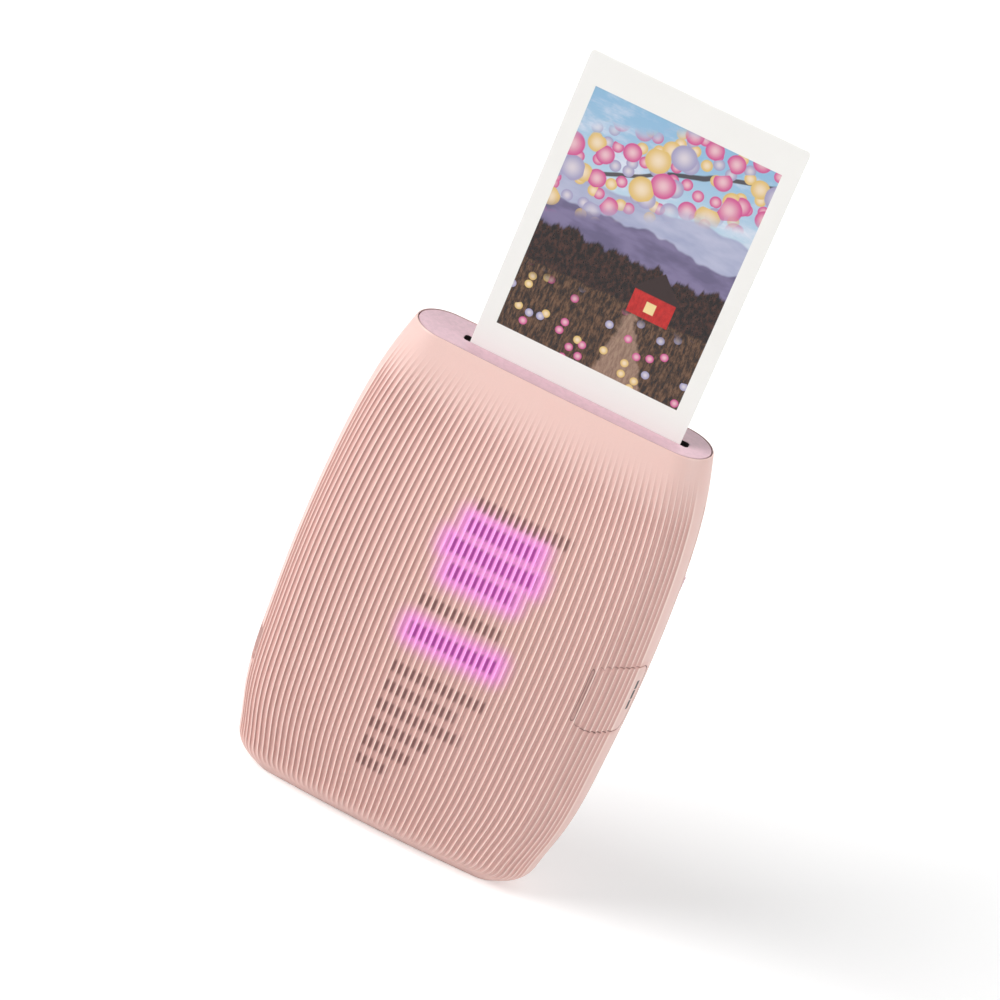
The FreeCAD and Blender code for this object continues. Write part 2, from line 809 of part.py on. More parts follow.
def make_latch():
    """The door's sliding latch: a plate inside the wall, its thumb piece, hook and keeper."""
    plate = block("latch_plate_box", ("latch_x", "latch_front", "latch_low"),
                  ("latch_right", "latch_back", "latch_top"))
    hook = block("latch_hook", ("latch_x", "-hook_reach", "latch_low"),
                 ("latch_right", "latch_front + latch_plate", "latch_low + hook_height"))
    thumb = block("latch_thumb", ("latch_x", "thumb_front", "thumb_low"),
                  ("thumb_end", "thumb_front + thumb_width", "thumb_low + thumb_height"))
    piece("door_latch", fused("latch", plate, hook, thumb))
    coil("latch_spring",
         Vector(value("latch_x") + value("latch_plate") / 2,
                (value("latch_front") + value("latch_back")) / 2 + value("spring_wire"),
                value("latch_top") + value("spring_wire") / 2),
         value("latch_spring_length") - value("spring_wire"),
         value("latch_spring_radius"), value("spring_wire"))
    keeper_x = "latch_right + keeper_gap"
    keeper = block("keeper_plate", (keeper_x, "-hook_reach", "latch_low - seat_thickness"),
                   (keeper_x + " + keeper_thickness", "-hook_reach / 2",
                    "latch_low + hook_height + seat_thickness"))
    base = block("keeper_base", ("frame_right", "frame_front", "latch_low - seat_thickness"),
                 (keeper_x + " + keeper_thickness", "-hook_reach - latch_plate / 4",
                  "latch_low + hook_height + seat_thickness"))
    arm = block("keeper_arm", (keeper_x, "-hook_reach - latch_plate / 4",
                               "latch_low - seat_thickness"),
                (keeper_x + " + keeper_thickness", "-hook_reach",
                 "latch_low + hook_height + seat_thickness"))
    piece("latch_keeper", fused("keeper", keeper, arm, base))


def make_film():
    """The film pack with its unused sheets and pressure plate, and the print on its way out."""
    box = rounded("pack_case", block("pack_box", ("pack_left", "pack_front", "pack_bottom"),
                                     ("pack_right", "pack_back", "pack_top")),
                  "z", "pack_corner")
    play = "pack_play"
    space = block("pack_space", ("sheet_left - " + play, "pack_inner_front", "pack_bottom + pack_wall"),
                  ("sheet_right + " + play, "pack_back - pack_wall", "pack_top - pack_wall"))
    aperture = block("pack_aperture",
                     ("slot_shift - picture_width / 2 - aperture_margin", "pack_front - overrun",
                      "home_low + picture_border - aperture_margin"),
                     ("slot_shift + picture_width / 2 + aperture_margin", "pack_inner_front + pack_play",
                      "home_low + picture_border + picture_height + aperture_margin"))
    slit = block("pack_slit", ("sheet_left - " + play, "pack_inner_front", "pack_top - overrun"),
                 ("sheet_right + " + play, "pack_inner_front + exit_slit", "pack_top + overrun"))
    notch = block("pack_notch",
                  ("finger_left - " + play, "pack_inner_front", "pack_bottom - overrun"),
                  ("finger_right + " + play, "pack_inner_front + exit_slit",
                   "pack_bottom + pack_wall + home_gap"))
    piece("film_pack", cut("pack", box, space, aperture, slit, notch))
    piece("unexposed_sheets", block("sheet_stack", ("sheet_left", "stack_front", "home_low"),
                                    ("sheet_right", "stack_back", "home_low + sheet_length")))
    piece("film_pressure_plate",
          block("pressure_plate", ("sheet_left", "stack_back + stack_gap", "home_low"),
                ("sheet_right", "stack_back + stack_gap + plate_thickness",
                 "home_low + sheet_length")))
    print_box = block("print_box", ("sheet_left", "sheet_front", "sheet_low"),
                      ("sheet_right", "sheet_back", "sheet_low + sheet_length"))
    piece("print_sheet", rounded("print", print_box, "y", "sheet_corner"))


def make_inner_frame():
    """The moulded frame: the film chamber's walls, its screw ears, board posts and claw studs."""
    back = "chamber_back"
    walls = [
        block("chamber_front", ("frame_left", "frame_front", "frame_low"),
              ("frame_right", "frame_front_in", "frame_top")),
        block("chamber_left", ("frame_left", "frame_front", "frame_low"),
              ("frame_left_in", back, "frame_top")),
        block("chamber_right", ("frame_right_in", "frame_front", "frame_low"),
              ("frame_right", back, "frame_top")),
        block("chamber_floor", ("frame_left", "frame_front", "frame_low"),
              ("frame_right", back, "frame_low_in")),
    ]
    for name, side, level in (("ear_left_low", -1, "ear_low"), ("ear_left_high", -1, "ear_high"),
                              ("ear_right_low", 1, "ear_low_right"),
                              ("ear_right_high", 1, "ear_high_right")):
        low = level + " - ear_height / 2"
        high = level + " + ear_height / 2"
        if side < 0:
            ends = ("frame_left - ear_length", "frame_left_in")
        else:
            ends = ("frame_right_in", "frame_right + ear_length_right")
        walls.append(block(name, (ends[0], "frame_front", low), (ends[1], "frame_front_in", high)))
    for number, (x, z) in enumerate(board_screw_spots()):
        walls.append(rod("board_post_%d" % number, "y", (x, "board_back", z), "post_radius",
                         "board_stand"))
    for number, z in enumerate(("stud_low", "stud_high")):
        walls.append(rod("claw_stud_%d" % number, "x",
                         ("claw_left - claw_gap", "pick_spring_y", z), "stud_radius",
                         "frame_left - claw_left + claw_gap"))
    walls.append(block("spring_anchor", ("claw_left - claw_tab", "frame_front",
                                         "pick_spring_low - claw_thickness - spring_wire"),
                       ("frame_left", "claw_front - claw_gap", "pick_spring_low - spring_wire")))
    walls.append(block("spring_anchor_arm",
                       ("claw_left - claw_tab", "claw_front - claw_gap",
                        "pick_spring_low - claw_thickness - spring_wire"),
                       ("claw_left - claw_gap", "pick_spring_y + claw_tab / 2",
                        "pick_spring_low - spring_wire")))
    walls.append(block("switch_spacer", ("frame_right", "plunger_y + plunger_size / 2",
                                         "button_mid - plunger_size"),
                       ("switch_board_left", "frame_front_in + plunger_size / 2",
                        "button_mid + plunger_size")))
    body = fused("frame_body", *walls)
    head_notch = block("head_notch", ("head_left - frame_gap", "frame_front - overrun",
                                      "head_low - frame_gap"),
                       ("head_right + frame_gap", "frame_front_in", "frame_top + overrun"))
    floor_slot = block("floor_slot", ("finger_left - pack_play", "pack_inner_front",
                                      "frame_low - overrun"),
                       ("finger_right + pack_play", "pack_inner_front + exit_slit",
                        "frame_low_in + frame_gap / 2"))
    tools = [head_notch, floor_slot]
    for number, (x, z) in enumerate(frame_screw_spots()):
        tools.append(rod("ear_hole_%d" % number, "y", (x, "frame_front - overrun", z),
                         "screw_radius + running_gap", "chamber_wall + 2 * overrun"))
    for number, (x, z) in enumerate(board_screw_spots()):
        tools.append(rod("board_post_hole_%d" % number, "y", (x, "board_back - overrun", z),
                         "screw_radius", "overrun + board_stand + chamber_wall / 2"))
    piece("inner_frame", cut("frame", body, *tools))
    spots = [(x, "frame_front_in", z) for x, z in frame_screw_spots()]
    backward_screws("frame_screws", spots, "chamber_wall + screw_grip - screw_head")


def backward_screws(label, spots, length):
    """Screws whose heads face +Y: each shank runs towards -Y from its spot."""
    items = []
    for number, (x, y, z) in enumerate(spots):
        shank = rod("%s_shank_%d" % (label, number), "y", (x, "%s - (%s)" % (y, length), z),
                    "screw_radius", length)
        head = rod("%s_head_%d" % (label, number), "y", (x, y, z), "screw_head_radius", "screw_head")
        items.append(fused("%s_%d" % (label, number), head, shank))
    return piece(label, group(label + "_group", items))


def make_roller_frame():
    """The bent bracket that carries both rollers, its bushes, and the gear cover."""
    top = "cheek_top"
    low_left = "frame_top"
    step = "nip_z - cheek_step"
    low_right = "pack_top + frame_gap"
    walls = [
        block("cheek_left_upper", ("frame_left", "-cheek_front", step),
              ("cheek_left_in", "cheek_back_out", top)),
        block("cheek_left_lower", ("frame_left", "-cheek_low_front", low_left),
              ("cheek_left_in", "cheek_back_out", step)),
        block("cheek_right_plate", ("cheek_right_in", "-cheek_front_right", low_right),
              ("cheek_right", "cheek_back_out", top)),
        block("cheek_back_plate", ("frame_left", "cheek_back", low_right),
              ("frame_right", "cheek_back_out", top)),
        block("cheek_tab", ("frame_right_in", "cheek_back", low_left),
              ("frame_right", "cheek_back_out", low_right)),
    ]
    body = fused("roller_frame_body", *walls)
    length = "cheek + 2 * overrun"
    tools = []
    bushes = []
    for side, x in (("left", "frame_left"), ("right", "cheek_right_in")):
        for name, y in (("front", "front_roller_y"), ("rear", "rear_roller_y")):
            spot = (x, y, "nip_z")
            tools.append(rod("bush_seat_%s_%s" % (side, name), "x", (x + " - overrun", y, "nip_z"),
                             "bush_radius", length))
            ring = rod("bush_%s_%s_ring" % (side, name), "x", spot, "bush_radius", "cheek")
            bore = rod("bush_%s_%s_bore" % (side, name), "x", (x + " - overrun", y, "nip_z"),
                       "journal_radius + running_gap", length)
            bushes.append(cut("bush_%s_%s" % (side, name), ring, bore))
    tools.append(rod("idler_pin_seat", "x", ("frame_left - overrun", "idler_y", "idler_z"),
                     "idler_pin_radius", length))
    tools.append(rod("motor_shaft_hole", "x", ("frame_left - overrun", "motor_y", "motor_z"),
                     "motor_shaft_radius + gear_gap", length))
    piece("roller_frame", cut("roller_bracket", body, *tools))
    piece("roller_bushes", group("bush_group", bushes))


def make_rollers():
    """Two steel rollers with thinner ends, the left ends long enough to carry the gears."""
    for label, y in (("drive_roller", "front_roller_y"), ("pinch_roller", "rear_roller_y")):
        spindle = rod(label + "_spindle", "x", ("gear_left - journal_end", y, "nip_z"),
                      "journal_radius", "cheek_right + 2 * journal_end - gear_left")
        barrel_rod = rod(label + "_barrel", "x", ("roller_left", y, "nip_z"), "roller_radius",
                         "roller_right - roller_left")
        piece(label, fused(label + "_body", spindle, barrel_rod))


def make_gears():
    """The train from the motor through the idler to the two rollers, in mesh at rest."""
    roller_teeth = int(value("roller_teeth"))
    idler_teeth = int(value("idler_teeth"))
    pinion_teeth = int(value("pinion_teeth"))
    spots = {
        "drive": (value("front_roller_y"), value("nip_z")),
        "pinch": (value("rear_roller_y"), value("nip_z")),
        "idler": (value("idler_y"), value("idler_z")),
        "motor": (value("motor_y"), value("motor_z")),
    }

    def bearing(one, other):
        return math.atan2(spots[other][1] - spots[one][1], spots[other][0] - spots[one][0])

    drive_start = bearing("drive", "pinch")
    pinch_start = meshed_start(drive_start, roller_teeth, bearing("drive", "pinch"), roller_teeth)
    idler_start = meshed_start(drive_start, roller_teeth, bearing("drive", "idler"), idler_teeth)
    motor_start = meshed_start(idler_start, idler_teeth, bearing("idler", "motor"), pinion_teeth)
    gears = (
        ("drive_roller_gear", "drive", roller_teeth, drive_start, "journal_radius", 0.0),
        ("pinch_roller_gear", "pinch", roller_teeth, pinch_start, "journal_radius", 0.0),
        ("idler_gear", "idler", idler_teeth, idler_start, "idler_pin_radius", value("running_gap")),
        ("motor_pinion_gear", "motor", pinion_teeth, motor_start, "motor_shaft_radius", 0.0),
    )
    made = {}
    for label, spot, teeth, start, bore, gap in gears:
        shape = gear_shape(teeth, start, value("gear_left"), value("gear_right"),
                           spots[spot][0], spots[spot][1], value(bore) + gap)
        made[label] = solid(label, shape)
    for label in ("drive_roller_gear", "pinch_roller_gear", "idler_gear"):
        piece(label, made[label])
    shaft = rod("pinion_shaft", "x", ("gear_left", "motor_y", "motor_z"), "motor_shaft_radius",
                "cheek_left_in + motor_shaft_depth - gear_left")
    piece("motor_pinion", fused("pinion", made["motor_pinion_gear"], shaft))
    pin = rod("idler_pin_shank", "x", ("gear_left - gear_gap", "idler_y", "idler_z"),
              "idler_pin_radius", "cheek_left_in - gear_left + gear_gap")
    head = rod("idler_pin_head", "x", ("gear_left - gear_gap - pin_head", "idler_y", "idler_z"),
               "idler_pin_radius + pin_head", "pin_head")
    piece("idler_pin", fused("idler_pin_body", pin, head))


def make_motor():
    """The geared motor: a gear head and a can with a groove between them, and the output bore."""
    spot = ("cheek_left_in", "motor_y", "motor_z")
    head = rod("motor_head_rod", "x", spot, "motor_radius", "motor_head")
    neck = rod("motor_neck", "x", spot, "motor_radius - motor_groove", "motor_length")
    can = rod("motor_can", "x", ("cheek_left_in + motor_head + motor_groove",) + spot[1:],
              "motor_radius", "motor_length - motor_head - motor_groove")
    cap = rod("motor_cap", "x", ("cheek_left_in + motor_length",) + spot[1:],
              "motor_radius / 2", "motor_groove * 2")
    bore = rod("motor_bore", "x", ("cheek_left_in - overrun",) + spot[1:],
               "motor_shaft_radius + running_gap", "motor_shaft_depth + overrun + gear_gap")
    piece("gear_motor", cut("motor", fused("motor_body", head, neck, can, cap), bore))


def make_gear_cover():
    """A thin cover outside the gears, stepped to clear the casing, on two posts."""
    step = "nip_z - cheek_step + gear_width"
    upper = block("cover_upper", ("cover_left", "front_roller_y - cover_post_radius * 2", step),
                  ("cover_right", "cheek_back_out", "cheek_top - cover_gap"))
    lower = block("cover_lower", ("cover_left", "motor_y - cover_post_radius", "frame_top"),
                  ("cover_right", "cheek_back_out", step))
    posts = []
    post_spots = (
        ("rear_roller_y + cover_post_radius * 1.5", "nip_z - gear_line + roller_radius * 1.5"),
        ("cheek_back_out - cover_post_radius", "frame_top + cover_post_radius * 2"),
    )
    for number, (y, z) in enumerate(post_spots):
        posts.append(rod("cover_post_%d" % number, "x", ("cover_right", y, z), "cover_post_radius",
                         "frame_left - cover_right"))
    piece("gear_cover", fused("cover", upper, lower, *posts))


def make_exposure_head():
    """The line head that writes the picture: its block, rod lens strip and light bar."""
    lens_margin = "lens_height"
    block_body = block("head_block", ("head_left", "head_front", "head_low"),
                       ("head_right", "frame_front_in", "head_top"))
    lens_low = "lens_z - lens_height / 2"
    lens_high = "lens_z + lens_height / 2"
    slot = block("lens_slot", ("head_left + " + lens_margin, "frame_front_in - lens_depth", lens_low),
                 ("head_right - " + lens_margin, "frame_front_in + overrun", lens_high))
    piece("exposure_head", cut("head", block_body, slot))
    piece("lens_array", block("lens_strip",
                              ("head_left + " + lens_margin, "frame_front_in - lens_depth", lens_low),
                              ("head_right - " + lens_margin, "frame_front_in", lens_high)))
    piece("print_led_bar", block("led_bar", ("head_left", "head_front - led_bar_thickness",
                                             "head_low + lens_height"),
                                 ("head_right", "head_front", "head_top - lens_height")))


def make_boards():
    """The main board with its parts, the battery, and the charging port."""
    main = block("board_main", ("board_left", "board_front", "board_low"),
                 ("board_right", "board_back", "board_top"))
    wing = block("board_wing_box", ("board_left - board_wing", "board_front", "board_low"),
                 ("board_left", "board_back", "board_wing_top"))
    holes = []
    for number, (x, z) in enumerate(board_screw_spots()):
        holes.append(rod("board_hole_%d" % number, "y", (x, "board_front - overrun", z),
                         "screw_radius + running_gap", "board_thickness + 2 * overrun"))
    piece("main_board", cut("board", fused("board_blank", main, wing), *holes))
    low = "board_low + battery_height + battery_pad * 8"
    chips = []
    for name, left, width, height, rise in CHIP_SHARES:
        start = "board_left + (board_right - board_left) * "
        chips.append(block(name, (start + str(left), "board_front - chip_height * %s" % rise, low),
                           (start + str(left + width), "board_front",
                            "%s + board_corner * %s" % (low, height))))
    piece("board_components", group("chips", chips))
    cell_box = block("battery_box", ("battery_left", "battery_front", "battery_low"),
                     ("battery_left + battery_width", "battery_back",
                      "battery_low + battery_height"))
    piece("battery", rounded("battery_cell", cell_box, "x", "sheet_corner"))
    piece("battery_pad", block("pad", ("battery_left + board_corner", "battery_back",
                                       "battery_low + board_corner"),
                               ("battery_left + battery_width - board_corner", "board_front",
                                "battery_low + battery_height - board_corner")))
    port_low = ("port_recess - half_width + port_opening_gap", "port_front", "port_low")
    port_high = ("port_recess - half_width + port_opening_gap + port_length", "port_back",
                 "port_low + port_width")
    shell = rounded("port_shell", block("port_box", port_low, port_high), "x", "slot_corner")
    mouth = block("port_mouth",
                  ("-half_width - overrun", "port_front + port_wall", "port_low + port_wall"),
                  ("port_recess + port_length - half_width - port_wall", "port_back - port_wall",
                   "port_low + port_width - port_wall"))
    tongue = block("port_tongue",
                   ("port_recess - half_width + port_opening_gap + tongue_recess",
                    "(port_front + port_back - board_thickness) / 2", "port_low + port_wall * 5"),
                   ("port_recess + port_length - half_width",
                    "(port_front + port_back + board_thickness) / 2",
                    "port_low + port_width - port_wall * 5"))
    piece("usb_port", fused("port", cut("port_hollow", shell, mouth), tongue))
    spots = [(x, "board_front", z) for x, z in board_screw_spots()]
    screws("board_screws", "y", spots, "board_thickness + board_stand + chamber_wall / 2")


def make_light_display():
    """The display behind the front: its board, a field of lamps and the diffuser."""
    board = block("light_board_box", ("light_left", "light_board_front", "light_low"),
                  ("light_left + light_width", "light_board_back", "light_low + light_height"))
    holes = []
    for number, (x, z) in enumerate(light_screw_spots()):
        holes.append(rod("light_hole_%d" % number, "y", (x, "light_board_front - overrun", z),
                         "screw_radius + running_gap", "light_thickness + 2 * overrun"))
    piece("light_board", cut("light_plate", board, *holes))
    left = "light_left + diffuser_inset"
    right = "light_left + light_width - diffuser_inset"
    low = "light_low + diffuser_leg"
    high = "light_low + light_height - diffuser_leg"
    lamps = []
    columns, rows = 3, 5
    for column in range(columns):
        for row in range(rows):
            x = "%s + diffuser_inset + (light_width - 4 * diffuser_inset) * %d / %d" % (
                left, column, columns - 1)
            z = "%s + diffuser_inset + (light_height - 2.5 * diffuser_inset) * %d / %d" % (
                low, row, rows - 1)
            lamps.append(block("lamp_%d_%d" % (column, row),
                               (x + " - led_size / 2", "light_board_front - led_height",
                                z + " - led_size / 2"),
                               (x + " + led_size / 2", "light_board_front", z + " + led_size / 2")))
    piece("status_leds", group("lamps", lamps))
    plates = [block("diffuser_plate", (left, "diffuser_front", low), (right, "diffuser_back", high))]
    for side, x in (("left", left), ("right", right + " - diffuser_leg")):
        for level, z in (("low", low), ("high", high + " - diffuser_leg")):
            plates.append(block("diffuser_leg_%s_%s" % (side, level), (x, "diffuser_back", z),
                                (x + " + diffuser_leg", "light_board_front", z + " + diffuser_leg")))
    piece("light_diffuser", fused("diffuser", *plates))
    spots = [(x, "light_board_back", z) for x, z in light_screw_spots()]
    backward_screws("light_board_screws", spots, "light_thickness + led_size")


def make_button_switch():
    """The small board behind the power button, its switch, and the rubber dome on it."""
    half = "plunger_size / 2"
    piece("button_board", block("switch_board",
                                ("switch_board_left", "plunger_y - plunger_size / 2",
                                 "button_mid - plunger_size"),
                                ("switch_left", "frame_front_in + plunger_size / 2",
                                 "button_mid + plunger_size")))
    piece("button_switch", block("switch_body", ("switch_left", "plunger_y - " + half,
                                                 "button_mid - " + half),
                                 ("dome_left", "plunger_y + " + half, "button_mid + " + half)))
    dome = doc.addObject("Part::Cone", "dome")
    dome.Placement = FreeCAD.Placement(Vector(0, 0, 0), TURNS["x"])
    dome.setExpression("Radius1", linked("plunger_size * 0.4"))
    dome.setExpression("Radius2", linked("plunger_size * 0.25"))
    dome.setExpression("Height", linked("dome_height"))
    at(dome, ("dome_left", "plunger_y", "button_mid"))
    piece("button_dome", dome)


def make_pick_claw():
    """The sheet-metal claw that pushes a sheet from the pack into the rollers, and its spring."""
    strip = block("claw_strip", ("claw_left", "claw_front", "claw_foot"),
                  ("claw_right", "claw_back", "claw_top"))
    foot = block("claw_foot_box", ("claw_left", "claw_front", "claw_foot"),
                 ("finger_right", "claw_back", "claw_foot_top"))
    finger = block("claw_finger_box", ("finger_left", "finger_front", "claw_foot"),
                   ("finger_right", "finger_back", "finger_top"))
    tab = block("claw_tab_box", ("claw_left - claw_tab", "claw_front", "claw_tab_low"),
                ("claw_right", "claw_back", "claw_tab_low + claw_thickness"))
    slots = []
    play = "(stud_radius + claw_gap)"
    for number, z in enumerate(("stud_low", "stud_high")):
        box = block("claw_slot_box_%d" % number,
                    ("claw_left - overrun", "pick_spring_y - " + play, z + " - claw_travel - " + play),
                    ("frame_left + overrun", "pick_spring_y + " + play, z + " + " + play))
        slots.append(box)
    piece("pick_claw", cut("claw", fused("claw_body", strip, foot, finger, tab), *slots))
    coil("pick_spring",
         Vector(value("pick_spring_x"), value("pick_spring_y"),
                value("pick_spring_low") - value("spring_wire") / 2),
         value("pick_spring_length") - value("spring_wire") * 1.5,
         value("pick_spring_radius"), value("spring_wire"))


def make_case_screws():
    spots = [(x, "lug_back", "case_screw_z") for x in ("case_screw_left", "case_screw_right")]
    backward_screws("case_screws", spots, "lug_thickness + screw_grip - screw_head")


def checked(items):
    """Stop if any object failed or any part has no sound solid."""
    doc.recompute()
    for item in doc.Objects:
        bad = [state for state in item.State if state in ("Invalid", "Error")]
        if bad:
            raise RuntimeError("%s is %s" % (item.Label, bad))
    for item in items:
        if item.Shape.isNull() or not item.Shape.isValid() or not item.Shape.Solids:
            raise RuntimeError("%s has no sound solid" % item.Label)


def write(items):
    os.makedirs("parts", exist_ok=True)
    for item in items:
        item.Shape.exportStep("parts/%s.step" % item.Label)
        print("%-22s solids %2d  volume %10.2f" % (item.Label, len(item.Shape.Solids),
                                                   item.Shape.Volume))


def main():
    fill_sheet()
    fill_places()
    outer, casing = make_casing()
    make_deck()
    make_front_shell(outer, casing)
    make_rear_shell(casing)
    make_door(outer, casing)
    make_latch()
    make_film()
    make_inner_frame()
    make_roller_frame()
    make_rollers()
    make_gears()
    make_motor()
    make_gear_cover()
    make_exposure_head()
    make_boards()
    make_light_display()
    make_button_switch()
    make_pick_claw()
    make_case_screws()
    checked(parts)
    write(parts)


main()
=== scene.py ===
import math

import bmesh
import bpy
import numpy as np
from mathutils import Matrix, Vector


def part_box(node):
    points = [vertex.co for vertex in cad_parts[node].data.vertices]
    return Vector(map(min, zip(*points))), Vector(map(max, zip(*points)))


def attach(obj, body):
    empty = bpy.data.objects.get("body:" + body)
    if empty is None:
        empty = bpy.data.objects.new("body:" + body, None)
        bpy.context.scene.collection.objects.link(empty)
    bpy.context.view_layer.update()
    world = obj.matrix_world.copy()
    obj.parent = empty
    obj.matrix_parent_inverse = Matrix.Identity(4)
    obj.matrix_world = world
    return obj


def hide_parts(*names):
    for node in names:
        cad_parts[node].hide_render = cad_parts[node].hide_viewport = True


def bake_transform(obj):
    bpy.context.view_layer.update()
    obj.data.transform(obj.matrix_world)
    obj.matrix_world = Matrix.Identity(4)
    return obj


MM = 0.001

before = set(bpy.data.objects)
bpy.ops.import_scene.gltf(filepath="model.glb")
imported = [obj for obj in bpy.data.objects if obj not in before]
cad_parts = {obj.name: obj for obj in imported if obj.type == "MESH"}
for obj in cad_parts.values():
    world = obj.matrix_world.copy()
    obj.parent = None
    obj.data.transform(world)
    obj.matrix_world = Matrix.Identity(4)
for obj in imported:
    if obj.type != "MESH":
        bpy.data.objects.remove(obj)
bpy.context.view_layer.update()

# Lengths are in millimetres, unless a comment says otherwise

# The barrel casing, as the solids have it
HEIGHT = 125.0
HALF_WIDTH = 45.0
HALF_DEPTH = 18.65
SIDE_RADIUS = 14.92
WALL = 2.0
RIM_WALL = 0.35
DECK_LOW = 123.0
FLOOR = 2.0
PARTING_Y = -0.5
# How far the skin turns in at the parting line, column by column, and at the top rim
EDGE_ROLL = (0.15, 0.05, 0.012)
LIP_LOW = 124.5
LIP_DEPTH = 0.13
# A share of the height, and the shares of half width, half depth and side radius there
SECTION_SHARES = np.array((
    (0.000, 0.756, 0.402, 0.437),
    (0.024, 0.851, 0.590, 0.619),
    (0.064, 0.902, 0.705, 0.740),
    (0.144, 0.951, 0.825, 0.846),
    (0.304, 0.990, 0.950, 0.950),
    (0.496, 1.000, 1.000, 1.000),
    (0.680, 0.984, 0.945, 0.945),
    (0.824, 0.950, 0.795, 0.815),
    (0.920, 0.904, 0.640, 0.696),
    (1.000, 0.844, 0.469, 0.551),
))

# The ribs: hollows cut along the casing, with narrow ridges between them
FLUTES = 57
FLUTE_DEPTH = 0.50
# The half section's arc length where the hollows have that depth
FLUTE_RUN = 105.0
RIDGE_SHARE = 0.12
# A small step beside each ridge: the share of the pitch that is lower, and its share of the depth
STEP_WIDTH = 0.95
STEP_SHARE = 0.035
# Columns across one hollow and its ridge, from 0 to 1
FLUTE_PLACES = (0.0, 0.045, 0.08, 0.13, 0.22, 0.35, 0.5, 0.65, 0.78, 0.87, 0.92, 0.955)
# Columns of the smooth strips beside the parting line, as shares of the arc length
EDGE_SHARES = (0.0, 0.0005, 0.0012, 0.0022, 0.004, 0.010, 0.018, 0.026, 0.034, 0.042, 0.050)
SMOOTH_SHARE = 0.056
# Heights between which the hollows begin at the base and run out at the top
FLUTE_BASE = (1.6, 8.0)
FLUTE_TOP = (107.0, 122.0)
FLUTE_FADE = 1.25
# Where a rib's colours begin and end: by distance from the hollow's middle for the painted
# highlight along each ridge, and by place across the hollow for the painted shade just past each
# ridge and for the flank
CREST_HIGHLIGHT_RISE = (0.74, 0.90)
# The painted highlight's level on the smooth strips beside the parting line, and on the smooth
# bands where the ribs run out
SMOOTH_STRIP_HIGHLIGHT = 0.35
SMOOTH_BAND_HIGHLIGHT = 0.28
GROOVE_SHADE_RISE = (0.03, 0.09)
GROOVE_SHADE_FALL = (0.12, 0.42)
FLANK_RISE = (0.04, 0.14)
FLANK_FALL = (0.42, 0.66)

# Openings in the casing: y low, y high, z low, z high and the corners' radius
BUTTON = (-13.62, -2.0, 52.4, 70.8, 2.8)
BUTTON_INNER = 33.0
BUTTON_STOP = 32.1
BUTTON_GAP = 0.2
BUTTON_LAP = 0.15
PLUNGER = ((39.02, -9, 59.7), (41.2, -5, 63.7))
PORT = (-6.4, -2.8, 26.0, 35.4, 0.9)
PORT_INNER = -34.6
THUMB_SLOT = (4.6, 8.2, 85.7, 93.8, 0.4)
THUMB_SLOT_INNER = 36.0
# x, z, y start, y end and radius of each boss inside the front
BOSSES = (
    (-34.0, 50.0, -12.6, -5.6, 2.1), (-34.0, 91.0, -11.2, -5.6, 2.1),
    (38.0, 41.0, -10.0, -5.6, 2.1), (38.0, 77.0, -9.4, -5.6, 2.1),
    (-12.2, 56.8, -16.6, -11.4, 1.8), (18.2, 56.8, -16.2, -11.4, 1.8),
    (-12.2, 86.7, -15.6, -11.4, 1.8), (18.2, 86.7, -15.0, -11.4, 1.8),
    (-12.0, 14.5, -12.2, 2.0, 2.1), (18.0, 14.5, -11.4, 2.0, 2.1),
)

# The film door, its hinge, and the lugs of the rear frame
DOOR_LEFT = -36.0
DOOR_LOW = 12.0
DOOR_TOP = 112.3
DOOR_FRONT = -0.2
DOOR_GAP = 0.3
HINGE = (-36.15, 13.629)
KNUCKLE_RADIUS = 1.4
KNUCKLE_BORE = 0.76
CASE_KNUCKLES = ((44, 51.7), (72.3, 80))
DOOR_KNUCKLE = (52.0, 72.0)
RELIEF_RADIUS = 1.7
CASE_RELIEF = (51.7, 72.3)
DOOR_RELIEFS = ((43.7, 52.0), (72.0, 80.3))
BORE_RADIUS = 1.2
CASE_BORE = (42.0, 82.0)
DOOR_BORE = (51.0, 73.0)
CUTTER_EDGE = 0.01
DOOR_BOSS_PLACES = (-12.05, 18.45)
DOOR_BOSS_Z = 64
DOOR_BOSS = (9.4, 16.9, 2.5)
SPRING_SEAT = ((36.0, 2.7, 98.5), (41.6, 8.2, 100.0))
LUG_PLACES = (-12.0, 18.0)
LUG_HALF = 3.5
LUG_Y = (2.0, 3.6)
LUG_Z = (1.0, 17.0)
LUG_HOLE_Z = 14.5
LUG_HOLE_RADIUS = 0.95

# Ribs on the latch's thumb piece
GRIP_RIBS = 4
GRIP_LOW = 86.9
GRIP_PITCH = 1.05

# The print, its picture and the slot that it stands in: the ranges in x, then y or z
SHEET = (-23.8, 30.2, -2.45, -2.05, 115.9, 201.9)
SHEET_CORNER = 1.0
SHEET_EDGE = 0.06
PICTURE = (-19.8, 26.2, 132.3, 194.3)
PICTURE_CORNER = 0.2
PICTURE_EDGE = 0.08
PICTURE_SUNK = 0.05
SLOT = (-25.75, 32.15, -2.65, 0.6)
BATTERY_TOP = 54.4

# Springs: name, node, centre, radius, low, high, turns, and the bodies below and above
SPRING_WIRE = 0.15
SPRING_EVEN = 0.12
SPRINGS = (
    ("latch_coil", "latch_spring", (36.6, 5.15), 0.9, 94.65, 98.35, 6, "door_latch", "film_door"),
    ("pick_coil", "pick_spring", (-31.2, -0.95), 1.0, 45.85, 63.4, 18, "housing", "pick_claw"),
)
REPLACED = ("front_shell", "rear_shell", "film_door", "power_button", "print_sheet",
            "latch_spring", "pick_spring")

ROUND_STEPS = 40
EASED_EDGE = 0.12
WELD_REACH = 0.002
SHARP_ANGLE = 38

